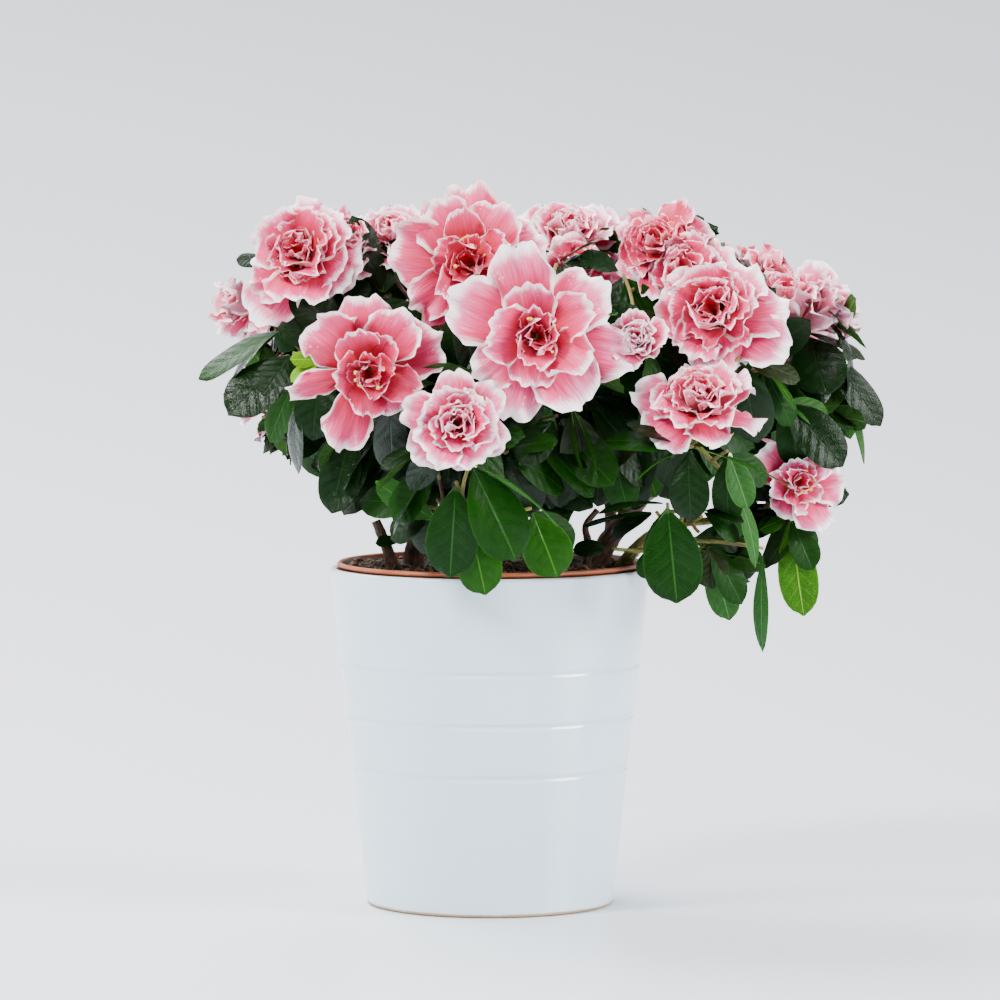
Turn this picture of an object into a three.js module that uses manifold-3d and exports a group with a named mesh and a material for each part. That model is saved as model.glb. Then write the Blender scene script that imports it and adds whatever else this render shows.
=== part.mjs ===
// A florist's azalea in flower, standing in a white glazed cover pot.
//
// Units are millimetres and +Z is up. The origin is the centre of the pot's flat underside,
// -Y is the side the plant shows to the room, and +X is the side it leans out over.
//
// The crown is a set of closed, uneven masses, each one cushion of leaves or one cluster of
// blossom. Neighbouring masses meet on flat cuts with a small gap between them. The stems
// rise out of the root ball, and every bough ends where it enters a mass.

import * as THREE from 'three';
import { mergeVertices } from 'three/addons/utils/BufferGeometryUtils.js';
import Module from 'manifold-3d';

// Cover pot: a plain cone with a rounded rim and three shallow ring grooves.
const POT_HEIGHT = 145;
const POT_RIM_RADIUS = 69;
const POT_FOOT_RADIUS = 53;
const POT_RIM_WALL = 2.9;
const POT_FLOOR_WALL = 3.5;
const POT_FLOOR = 6;
const POT_ROUNDING = 1.45;
const ROUNDING_STEPS = 3;
const FOOT_CHAMFER = 1.5;
const GROOVE_TOP = 104;
const GROOVE_PITCH = 22.2;
const GROOVE_COUNT = 3;
const GROOVE_WIDTH = 2.2;
const GROOVE_DEPTH = 0.5;
const POT_SEGMENTS = 40;

// Grow pot: a thin tapering liner whose lip stands just proud of the cover pot.
const LINER_TOP = 147.4;
const LINER_LIP_RADIUS = 65.7;
const LINER_LIP_WALL = 2.2;
const LINER_LIP_DEPTH = 4;
const LINER_WALL = 1.3;
const LINER_TOP_RADIUS = 63.4;
const LINER_FOOT_RADIUS = 45;
const LINER_SEGMENTS = 32;

// Root ball: peat that fills the liner to a little under its lip.
const SOIL_TOP = 144;
const SOIL_RELIEF = 1.3;
const SOIL_SEGMENTS = 24;
const SOIL_RINGS = 3;

const GAP = 0.3;
const SLIVER = 0.1;
const STEM_SINK = 3;
const STEM_SIDES = 8;
const STEM_STEPS = 6;
const BOUGH_SIDES = 6;
const BOUGH_STEPS = 5;

// Stems and stubs: name, foot and way points, radius at the foot and at the tip, and the
// extra radius of the root flare at soil level. "bark" names the material.
const STEMS = [
  { name: 'main_stem', way: [[-4, 3, 0], [-3, 1, 17], [0, -2, 34], [3, -4, 60]], foot: 5.6, tip: 4.2, flare: 4, bark: 'bark' },
  { name: 'right_stem', way: [[43, 8, 0], [51, 8, 14], [62, 6, 29], [78, 3, 50]], foot: 4.6, tip: 3.3, flare: 2.2, bark: 'bark' },
  { name: 'second_right_stem', way: [[54, -3, 0], [60, -4, 9], [68, -6, 17], [80, -9, 25]], foot: 2.9, tip: 2.1, flare: 0.8, bark: 'green_bark' },
  { name: 'left_stem', way: [[-33, 6, 0], [-32, 3, 14], [-26, -3, 30], [-20, -8, 56]], foot: 4.1, tip: 3, flare: 2, bark: 'bark' },
  { name: 'cut_stub', way: [[-41, -6, 0], [-44, -6, 12], [-49, -5, 24]], foot: 2.6, tip: 2, flare: 1, bark: 'bark' },
  { name: 'bent_snag', way: [[41, -9, 0], [42, -8, 14], [41, -8, 22], [46, -8, 29]], foot: 1.9, tip: 1.2, flare: 0.6, bark: 'bark' },
  { name: 'short_stub', way: [[29, -2, 0], [30, -3, 16], [32, -4, 32]], foot: 1.9, tip: 1.5, flare: 0.6, bark: 'bark' },
];

// Masses: name, centre above the pot's underside, half sizes, and lump height as a share of
// the size. "kind" is what the mass mostly carries, blossom or leaf.
const MASSES = [
  { name: 'upper_left_blossom_mass', at: [-72, -27, 279], half: [32, 33, 27], kind: 'blossom' },
  { name: 'top_left_blossom_mass', at: [-6, -42, 276], half: [34, 34, 29], kind: 'blossom' },
  { name: 'front_blossom_mass', at: [24, -82, 247], half: [36, 28, 32], kind: 'blossom' },
  { name: 'front_left_blossom_mass', at: [-46, -76, 229], half: [30, 28, 30], kind: 'blossom' },
  { name: 'front_low_blossom_mass', at: [-10, -93, 210], half: [22, 20, 20], kind: 'blossom' },
  { name: 'left_leaf_mass', at: [-94, -30, 221], half: [30, 30, 31], kind: 'leaf' },
  { name: 'lower_left_leaf_mass', at: [-50, -46, 189], half: [26, 28, 24], kind: 'leaf' },
  { name: 'front_low_leaf_mass', at: [-8, -88, 173], half: [38, 19, 28], kind: 'leaf' },
  { name: 'top_blossom_mass', at: [34, 10, 280], half: [28, 30, 27], kind: 'blossom' },
  { name: 'upper_right_blossom_mass', at: [76, -18, 280], half: [27, 28, 26], kind: 'blossom' },
  { name: 'right_front_blossom_mass', at: [99, -54, 257], half: [29, 29, 26], kind: 'blossom' },
  { name: 'right_low_blossom_mass', at: [88, -80, 222], half: [25, 22, 18], kind: 'blossom' },
  { name: 'half_open_blossom_mass', at: [65, -68, 245], half: [17, 18, 20], kind: 'blossom' },
  { name: 'far_right_blossom_mass', at: [141, -10, 252], half: [28, 30, 23], kind: 'blossom' },
  { name: 'right_leaf_mass', at: [138, -24, 212], half: [32, 27, 22], kind: 'leaf' },
  { name: 'low_right_blossom_mass', at: [133, -26, 179], half: [22, 24, 19], kind: 'blossom' },
  { name: 'low_right_leaf_mass', at: [130, -30, 146], half: [13, 14, 20], kind: 'leaf' },
  { name: 'hanging_leaf_mass', at: [85, -50, 160], half: [21, 18, 31], kind: 'leaf' },
  { name: 'hanging_tip_leaf_mass', at: [111, -42, 140], half: [11, 10, 27], kind: 'leaf' },
  { name: 'inner_leaf_mass', at: [-2, -8, 228], half: [54, 44, 38], kind: 'leaf' },
  { name: 'inner_right_leaf_mass', at: [66, -14, 228], half: [38, 40, 36], kind: 'leaf' },
  { name: 'rear_left_blossom_mass', at: [-62, 37, 256], half: [40, 36, 34], kind: 'blossom' },
  { name: 'rear_left_leaf_mass', at: [-78, 32, 212], half: [30, 32, 27], kind: 'leaf' },
  { name: 'rear_blossom_mass', at: [-8, 60, 263], half: [38, 40, 33], kind: 'blossom' },
  { name: 'rear_leaf_mass', at: [-12, 84, 220], half: [36, 27, 29], kind: 'leaf' },
  { name: 'rear_right_blossom_mass', at: [52, 64, 259], half: [35, 33, 33], kind: 'blossom' },
  { name: 'rear_right_leaf_mass', at: [50, 82, 216], half: [32, 27, 27], kind: 'leaf' },
  { name: 'right_rear_blossom_mass', at: [105, 38, 250], half: [34, 33, 31], kind: 'blossom' },
  { name: 'right_rear_leaf_mass', at: [110, 36, 214], half: [28, 28, 18], kind: 'leaf' },
];

// Boughs: each leaves a stem at a share of its length and runs to the mass it carries.
const BOUGHS = [
  { name: 'front_left_bough', from: 'left_stem', share: 0.42, to: 'lower_left_leaf_mass', foot: 2.6, tip: 1.9 },
  { name: 'front_bough', from: 'main_stem', share: 0.42, to: 'front_low_leaf_mass', foot: 2.4, tip: 1.7 },
  { name: 'front_right_bough', from: 'main_stem', share: 0.58, to: 'front_blossom_mass', foot: 2.8, tip: 2.1 },
  { name: 'left_bough', from: 'left_stem', share: 0.6, to: 'left_leaf_mass', foot: 2.7, tip: 2 },
  { name: 'rear_left_bough', from: 'left_stem', share: 0.5, to: 'rear_left_leaf_mass', foot: 2.8, tip: 2 },
  { name: 'rear_bough', from: 'main_stem', share: 0.5, to: 'rear_leaf_mass', foot: 3, tip: 2.1 },
  { name: 'rear_right_bough', from: 'right_stem', share: 0.3, to: 'rear_right_leaf_mass', foot: 2.8, tip: 2 },
  { name: 'right_rear_bough', from: 'right_stem', share: 0.62, to: 'right_rear_leaf_mass', foot: 2.6, tip: 1.9 },
  { name: 'right_front_bough', from: 'right_stem', share: 0.7, to: 'right_low_blossom_mass', foot: 2.4, tip: 1.8 },
  { name: 'hanging_bough', from: 'second_right_stem', share: 0.6, to: 'hanging_leaf_mass', foot: 1.7, tip: 1.3 },
  { name: 'low_right_bough', from: 'second_right_stem', share: 0.92, to: 'low_right_blossom_mass', foot: 1.9, tip: 1.3 },
];

const LUMP_COUNT = 10;
const LUMP_HEIGHT = 0.13;
const MASS_DETAIL = 2;
const PLAIN_DETAIL = 1;
const SMALL_HALF = 23;
const BOUGH_SAG = 7;

const wasm = await Module();
wasm.setup();

const material = (color, roughness) => new THREE.MeshStandardMaterial({ color, roughness, metalness: 0 });

const MATERIALS = {
  pot: () => material(0xeef1f4, 0.18),
  liner: () => material(0xa9603f, 0.55),
  peat: () => material(0x2e211a, 0.95),
  bark: () => material(0x6b4630, 0.85),
  green_bark: () => material(0x7f8a45, 0.7),
  leaf: () => material(0x1f4a1e, 0.4),
  blossom: () => material(0xf2a9b8, 0.6),
};

// A repeatable random number from 0 to 1, from a whole-number seed.
function randomFrom(seed) {
  let state = seed;
  return () => {
    state = (state + 0x6d2b79f5) | 0;
    let mixed = Math.imul(state ^ (state >>> 15), 1 | state);
    mixed = (mixed + Math.imul(mixed ^ (mixed >>> 7), 61 | mixed)) ^ mixed;
    return ((mixed ^ (mixed >>> 14)) >>> 0) / 4294967296;
  };
}

// A closed solid from a geometry: shared corners merged and flat triangles dropped.
function solidFrom(geometry) {
  const bare = geometry.index ? geometry.clone() : geometry;
  bare.deleteAttribute('normal');
  bare.deleteAttribute('uv');
  const merged = mergeVertices(bare, 1e-4);
  const index = merged.index.array;
  const triVerts = [];
  for (let i = 0; i < index.length; i += 3) {
    const [a, b, c] = [index[i], index[i + 1], index[i + 2]];
    if (a !== b && b !== c && c !== a) {
      triVerts.push(a, b, c);
    }
  }
  const vertProperties = new Float32Array(merged.attributes.position.array);
  const mesh = new wasm.Mesh({ numProp: 3, vertProperties, triVerts: new Uint32Array(triVerts) });
  return new wasm.Manifold(mesh);
}

// The geometry of a solid, with its smallest slivers taken out.
function geometryFrom(solid) {
  const mesh = solid.simplify(SLIVER).getMesh();
  const geometry = new THREE.BufferGeometry();
  geometry.setAttribute('position', new THREE.BufferAttribute(new Float32Array(mesh.vertProperties), 3));
  geometry.setIndex(Array.from(mesh.triVerts));
  geometry.computeVertexNormals();
  return geometry;
}

// A solid of revolution about Z from its profile, given as [radius, height] going up the
// outside and back down the inside.
function turned(profile, segments) {
  const points = profile.map(([radius, height]) => new THREE.Vector2(radius, height));
  const geometry = new THREE.LatheGeometry(points, segments);
  geometry.rotateX(Math.PI / 2);
  return solidFrom(geometry);
}

// Radius on the pot's outer cone at a height.
function potRadius(height) {
  return THREE.MathUtils.mapLinear(height, 0, POT_HEIGHT, POT_FOOT_RADIUS, POT_RIM_RADIUS);
}

function potSolid() {
  const profile = [[0, 0], [POT_FOOT_RADIUS - FOOT_CHAMFER, 0], [potRadius(FOOT_CHAMFER), FOOT_CHAMFER]];
  for (let i = GROOVE_COUNT - 1; i >= 0; i -= 1) {
    const height = GROOVE_TOP - i * GROOVE_PITCH;
    profile.push([potRadius(height - GROOVE_WIDTH / 2), height - GROOVE_WIDTH / 2]);
    profile.push([potRadius(height) - GROOVE_DEPTH, height]);
    profile.push([potRadius(height + GROOVE_WIDTH / 2), height + GROOVE_WIDTH / 2]);
  }
  const rimCentre = potRadius(POT_HEIGHT - POT_ROUNDING) - POT_ROUNDING;
  for (let i = 0; i <= ROUNDING_STEPS; i += 1) {
    const turn = (i / ROUNDING_STEPS) * Math.PI;
    profile.push([
      rimCentre + POT_ROUNDING * Math.cos(turn),
      POT_HEIGHT - POT_ROUNDING + POT_ROUNDING * Math.sin(turn),
    ]);
  }
  const floorRadius = potRadius(POT_FLOOR) - POT_FLOOR_WALL;
  profile.push([floorRadius, POT_FLOOR + 2]);
  profile.push([floorRadius - 2.5, POT_FLOOR]);
  profile.push([0, POT_FLOOR]);
  return turned(profile, POT_SEGMENTS);
}

// Radius on the liner's outer cone at a height.
function linerRadius(height) {
  const lipFoot = LINER_TOP - LINER_LIP_DEPTH;
  return THREE.MathUtils.mapLinear(height, POT_FLOOR, lipFoot, LINER_FOOT_RADIUS, LINER_TOP_RADIUS);
}

function linerSolid() {
  const foot = POT_FLOOR + GAP;
  const lipFoot = LINER_TOP - LINER_LIP_DEPTH;
  const lipInner = LINER_LIP_RADIUS - LINER_LIP_WALL;
  return turned([
    [0, foot],
    [linerRadius(foot), foot],
    [LINER_TOP_RADIUS, lipFoot],
    [LINER_LIP_RADIUS, lipFoot + 1.5],
    [LINER_LIP_RADIUS, LINER_TOP - 0.8],
    [LINER_LIP_RADIUS - 0.8, LINER_TOP],
    [lipInner, LINER_TOP],
    [LINER_TOP_RADIUS - LINER_WALL, lipFoot - 1],
    [linerRadius(foot + LINER_WALL) - LINER_WALL, foot + LINER_WALL],
    [0, foot + LINER_WALL],
  ], LINER_SEGMENTS);
}

// Height of the soil at a place: a few low swells round the nominal level.
function soilHeight(x, y) {
  const swell = Math.sin(x * 0.11 + 0.6) * Math.cos(y * 0.09 - 0.4);
  const crumb = Math.sin(x * 0.31 - 1.1) * Math.sin(y * 0.27 + 0.8);
  return SOIL_TOP + SOIL_RELIEF * (0.7 * swell + 0.3 * crumb);
}

// The root ball: a cone with a flat foot and an uneven top, closed round its rim.
function rootBallSolid() {
  const foot = POT_FLOOR + LINER_WALL + 3 * GAP;
  const footRadius = linerRadius(foot) - LINER_WALL - 2 * GAP;
  const rimRadius = linerRadius(SOIL_TOP - 3) - LINER_WALL - 2 * GAP;
  const positions = [0, 0, foot];
  const ring = (radius, height) => {
    for (let i = 0; i < SOIL_SEGMENTS; i += 1) {
      const turn = (i / SOIL_SEGMENTS) * 2 * Math.PI;
      const [x, y] = [radius * Math.cos(turn), radius * Math.sin(turn)];
      positions.push(x, y, height(x, y));
    }
  };
  ring(footRadius, () => foot);
  for (let k = SOIL_RINGS; k >= 1; k -= 1) {
    ring((rimRadius * k) / SOIL_RINGS, soilHeight);
  }
  positions.push(0, 0, soilHeight(0, 0));
  const top = positions.length / 3 - 1;
  const index = [];
  for (let i = 0; i < SOIL_SEGMENTS; i += 1) {
    const next = (i + 1) % SOIL_SEGMENTS;
    index.push(0, 1 + next, 1 + i);
    for (let k = 0; k < SOIL_RINGS; k += 1) {
      const [low, high] = [1 + k * SOIL_SEGMENTS, 1 + (k + 1) * SOIL_SEGMENTS];
      index.push(low + i, low + next, high + i);
      index.push(low + next, high + next, high + i);
    }
    const last = 1 + SOIL_RINGS * SOIL_SEGMENTS;
    index.push(last + i, last + next, top);
  }
  const geometry = new THREE.BufferGeometry();
  geometry.setAttribute('position', new THREE.BufferAttribute(new Float32Array(positions), 3));
  geometry.setIndex(index);
  return solidFrom(geometry);
}

// A tapering limb along a curve. The radius falls evenly from foot to tip, and a flare adds
// to it near the foot, dying away over one flare length. Both ends are flat.
function limbSolid({ curve, foot, tip, flare = 0, sides, steps }, grow = 0) {
  const length = curve.getLength();
  const frames = curve.computeFrenetFrames(steps, false);
  const positions = [];
  for (let k = 0; k <= steps; k += 1) {
    const share = k / steps;
    const centre = curve.getPointAt(share);
    const spread = flare * Math.exp((-share * length) / 5);
    const radius = THREE.MathUtils.lerp(foot, tip, share) + spread + grow;
    for (let i = 0; i < sides; i += 1) {
      const turn = (i / sides) * 2 * Math.PI;
      const lobe = 1 + (spread > 0 ? 0.25 * (spread / (radius + spread)) * Math.cos(5 * turn) : 0);
      const out = frames.normals[k].clone().multiplyScalar(Math.cos(turn) * radius * lobe);
      out.addScaledVector(frames.binormals[k], Math.sin(turn) * radius * lobe);
      positions.push(...centre.clone().add(out).toArray());
    }
  }
  const footCentre = positions.length / 3;
  positions.push(...curve.getPointAt(0).toArray());
  positions.push(...curve.getPointAt(1).toArray());
  const index = [];
  for (let i = 0; i < sides; i += 1) {
    const next = (i + 1) % sides;
    for (let k = 0; k < steps; k += 1) {
      const [low, high] = [k * sides, (k + 1) * sides];
      index.push(low + i, low + next, high + i);
      index.push(low + next, high + next, high + i);
    }
    index.push(footCentre, next, i);
    index.push(footCentre + 1, steps * sides + i, steps * sides + next);
  }
  const geometry = new THREE.BufferGeometry();
  geometry.setAttribute('position', new THREE.BufferAttribute(new Float32Array(positions), 3));
  geometry.setIndex(index);
  return solidFrom(geometry);
}

// One mass: a ball stretched to its half sizes, with a few soft lumps and hollows whose
// places come from the mass's own seed. Small and hidden masses have fewer faces.
function massSolid(mass, grow = 0) {
  const random = randomFrom(mass.seed);
  const lumps = [];
  for (let i = 0; i < LUMP_COUNT; i += 1) {
    const height = 2 * random() - 1;
    const turn = random() * 2 * Math.PI;
    const flat = Math.sqrt(1 - height * height);
    const towards = new THREE.Vector3(flat * Math.cos(turn), flat * Math.sin(turn), height);
    lumps.push({ towards, rise: LUMP_HEIGHT * (1.6 * random() - 1) });
  }
  const plain = mass.name.startsWith('inner') || Math.max(...mass.half) < SMALL_HALF;
  const geometry = new THREE.IcosahedronGeometry(1, plain ? PLAIN_DETAIL : MASS_DETAIL);
  const position = geometry.attributes.position;
  const point = new THREE.Vector3();
  for (let i = 0; i < position.count; i += 1) {
    point.fromBufferAttribute(position, i).normalize();
    let reach = 1;
    for (const { towards, rise } of lumps) {
      reach += rise * Math.max(0, point.dot(towards)) ** 3;
    }
    position.setXYZ(
      i,
      mass.at[0] + point.x * (mass.half[0] * reach + grow),
      mass.at[1] + point.y * (mass.half[1] * reach + grow),
      mass.at[2] + point.z * (mass.half[2] * reach + grow),
    );
  }
  let solid = solidFrom(geometry);
  for (const { normal, offset } of mass.cuts) {
    solid = solid.trimByPlane(normal.toArray(), offset - grow);
  }
  return solid;
}

// How far a mass's plain shape reaches from its centre in a direction.
function reachOf(mass, towards) {
  return 1 / Math.hypot(...towards.toArray().map((part, axis) => part / mass.half[axis]));
}

// Flat cuts between every two masses that run into each other, square to the line between
// their centres and dividing it by how far each one reaches.
function cutBetween(masses) {
  const whole = masses.map((mass) => massSolid(mass));
  for (let i = 0; i < masses.length; i += 1) {
    for (let j = i + 1; j < masses.length; j += 1) {
      if (whole[i].intersect(whole[j]).volume() > 0.5) {
        const centre = new THREE.Vector3(...masses[i].at);
        const line = new THREE.Vector3(...masses[j].at).sub(centre);
        const length = line.length();
        const normal = line.divideScalar(length);
        const [near, far] = [reachOf(masses[i], normal), reachOf(masses[j], normal)];
        const split = (length * length + near * near - far * far) / (2 * length);
        const share = THREE.MathUtils.clamp(split / length, 0.2, 0.8);
        const offset = normal.dot(centre) + share * length;
        masses[i].cuts.push({ normal: normal.clone().negate(), offset: -(offset - GAP / 2) });
        masses[j].cuts.push({ normal: normal.clone(), offset: offset + GAP / 2 });
      }
    }
  }
}

// The piece of a cut solid that holds a limb's foot.
function pieceAt(solid, foot) {
  const distance = (piece) => {
    const box = piece.boundingBox();
    return new THREE.Box3(new THREE.Vector3(...box.min), new THREE.Vector3(...box.max)).distanceToPoint(foot);
  };
  return solid.decompose().sort((a, b) => distance(a) - distance(b))[0];
}

const plant = new THREE.Group();

function addNode(name, solid, makeMaterial) {
  const mesh = new THREE.Mesh(geometryFrom(solid), makeMaterial());
  mesh.name = name;
  plant.add(mesh);
}

const masses = MASSES.map((mass, order) => ({ ...mass, seed: 1009 + 37 * order, cuts: [] }));
cutBetween(masses);

const stems = STEMS.map((stem) => {
  const way = stem.way.map(([x, y, rise]) => new THREE.Vector3(x, y, SOIL_TOP - STEM_SINK + rise));
  const curve = new THREE.CatmullRomCurve3(way, false, 'centripetal');
  return { ...stem, curve, sides: STEM_SIDES, steps: STEM_STEPS };
});

const boughs = BOUGHS.map((bough) => {
  const start = stems.find((stem) => stem.name === bough.from).curve.getPointAt(bough.share);
  const end = new THREE.Vector3(...masses.find((mass) => mass.name === bough.to).at);
  const middle = start.clone().lerp(end, 0.45);
  middle.z -= BOUGH_SAG;
  const curve = new THREE.QuadraticBezierCurve3(start, middle, end);
  return { ...bough, curve, bark: 'bark', sides: BOUGH_SIDES, steps: BOUGH_STEPS };
});

addNode('pot', potSolid(), MATERIALS.pot);
addNode('liner', linerSolid(), MATERIALS.liner);

let rootBall = rootBallSolid();
for (const stem of stems) {
  rootBall = rootBall.subtract(limbSolid(stem, GAP));
}
addNode('root_ball', rootBall, MATERIALS.peat);

const foliage = masses.map((mass) => massSolid(mass, GAP));
const built = [];
for (const limb of [...stems, ...boughs]) {
  let solid = limbSolid(limb);
  for (const other of [...foliage, ...built]) {
    solid = solid.subtract(other);
  }
  const foot = limb.curve.getPointAt(0.12);
  addNode(limb.name, pieceAt(solid, foot), MATERIALS[limb.bark]);
  built.push(limbSolid(limb, GAP));
}

for (const mass of masses) {
  addNode(mass.name, massSolid(mass), MATERIALS[mass.kind]);
}

export default plant;
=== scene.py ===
"""A florist's azalea in full flower, in a white glazed cover pot.

Lengths in this script are millimetres in the part's frame (+Z up, origin under the pot, -Y the
side the plant shows) until a mesh is written, where they become metres.
"""

import math

import bpy
import numpy as np
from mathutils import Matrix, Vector


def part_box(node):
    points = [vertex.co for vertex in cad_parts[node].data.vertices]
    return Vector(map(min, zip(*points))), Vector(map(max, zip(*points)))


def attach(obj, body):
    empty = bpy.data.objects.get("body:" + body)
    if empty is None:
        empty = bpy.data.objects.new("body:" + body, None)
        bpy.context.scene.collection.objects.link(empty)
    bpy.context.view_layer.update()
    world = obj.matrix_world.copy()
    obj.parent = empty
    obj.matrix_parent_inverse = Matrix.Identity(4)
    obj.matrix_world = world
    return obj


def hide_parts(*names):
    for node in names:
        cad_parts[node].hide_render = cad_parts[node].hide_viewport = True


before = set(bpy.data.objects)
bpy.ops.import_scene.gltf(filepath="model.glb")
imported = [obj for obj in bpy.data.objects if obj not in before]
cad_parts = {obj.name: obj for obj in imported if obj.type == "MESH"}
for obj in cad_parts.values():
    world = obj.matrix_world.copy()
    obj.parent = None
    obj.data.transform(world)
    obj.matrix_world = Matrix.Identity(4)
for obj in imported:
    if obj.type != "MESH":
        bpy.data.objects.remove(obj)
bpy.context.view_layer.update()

MM = 0.001
RANDOM = np.random.default_rng(11)

# Cover pot, liner and soil.
POT_HEIGHT = 145.0
POT_RIM_RADIUS = 69.0
POT_FOOT_RADIUS = 53.0
POT_ROUNDING = 1.45
POT_FLOOR = 6.0
POT_WALL = 3.3
GROOVE_HEIGHTS = (104.0, 81.8, 59.6)
LINER_TOP = 147.4
LINER_LIP_RADIUS = 65.7
LINER_ROLL = 1.1
SOIL_TOP = 144.0
SOIL_RADIUS = 61.6
SOIL_FOOT = 8.4
SOIL_FOOT_RADIUS = 42.5
LITTER_COUNT = 520

# Stems and stubs: way points above the sunk foot, radius at foot and tip, root flare.
STEMS = {
    "main_stem": (((-4, 3, 0), (-3, 1, 17), (0, -2, 34), (3, -4, 60)), 5.6, 4.2, 4.0),
    "right_stem": (((43, 8, 0), (51, 8, 14), (62, 6, 29), (78, 3, 50)), 4.6, 3.3, 2.2),
    "second_right_stem": (((54, -3, 0), (60, -4, 9), (68, -6, 17), (80, -9, 25)), 2.9, 2.1, 0.8),
    "left_stem": (((-33, 6, 0), (-32, 3, 14), (-26, -3, 30), (-20, -8, 56)), 4.1, 3.0, 2.0),
    "cut_stub": (((-41, -6, 0), (-44, -6, 12), (-49, -5, 24)), 2.6, 2.0, 1.0),
    "bent_snag": (((41, -9, 0), (42, -8, 14), (41, -8, 22), (46, -8, 29)), 1.9, 1.2, 0.6),
    "short_stub": (((29, -2, 0), (30, -3, 16), (32, -4, 32)), 1.9, 1.5, 0.6),
}
DEAD_WOOD = ("cut_stub", "bent_snag", "short_stub")
GREEN_LIMBS = ("second_right_stem", "low_right_bough", "hanging_bough")
STEM_SINK = 3.0
BOUGH_SAG = 7.0

# Boughs: the stem they leave, how far along it, the mass they carry, radius at foot and tip.
BOUGHS = {
    "front_left_bough": ("left_stem", 0.42, "lower_left_leaf_mass", 2.6, 1.9),
    "front_bough": ("main_stem", 0.42, "front_low_leaf_mass", 2.4, 1.7),
    "front_right_bough": ("main_stem", 0.58, "front_blossom_mass", 2.8, 2.1),
    "left_bough": ("left_stem", 0.6, "left_leaf_mass", 2.7, 2.0),
    "rear_left_bough": ("left_stem", 0.5, "rear_left_leaf_mass", 2.8, 2.0),
    "rear_bough": ("main_stem", 0.5, "rear_leaf_mass", 3.0, 2.1),
    "rear_right_bough": ("right_stem", 0.3, "rear_right_leaf_mass", 2.8, 2.0),
    "right_rear_bough": ("right_stem", 0.62, "right_rear_leaf_mass", 2.6, 1.9),
    "right_front_bough": ("right_stem", 0.7, "right_low_blossom_mass", 2.4, 1.8),
    "hanging_bough": ("second_right_stem", 0.6, "hanging_leaf_mass", 1.7, 1.3),
    "low_right_bough": ("second_right_stem", 0.92, "low_right_blossom_mass", 1.9, 1.3),
}

# The masses each region of the fine foliage stands for.
REGIONS = {
    "left": ("upper_left_blossom_mass", "top_left_blossom_mass", "front_left_blossom_mass",
             "front_low_blossom_mass", "left_leaf_mass", "lower_left_leaf_mass",
             "front_low_leaf_mass", "inner_leaf_mass"),
    "right": ("front_blossom_mass", "top_blossom_mass", "upper_right_blossom_mass",
              "right_front_blossom_mass", "right_low_blossom_mass", "half_open_blossom_mass",
              "far_right_blossom_mass", "right_leaf_mass", "low_right_blossom_mass",
              "low_right_leaf_mass", "hanging_leaf_mass", "hanging_tip_leaf_mass",
              "inner_right_leaf_mass"),
    "rear": ("rear_left_blossom_mass", "rear_left_leaf_mass", "rear_blossom_mass",
             "rear_leaf_mass", "rear_right_blossom_mass", "rear_right_leaf_mass",
             "right_rear_blossom_mass", "right_rear_leaf_mass"),
}

# Masses that show leaves fill on their own, and how far back a mass still counts as a front one.
SHOW_ONLY = ("hanging_tip_leaf_mass", "low_right_leaf_mass")
FRONT = -20.0

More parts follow.
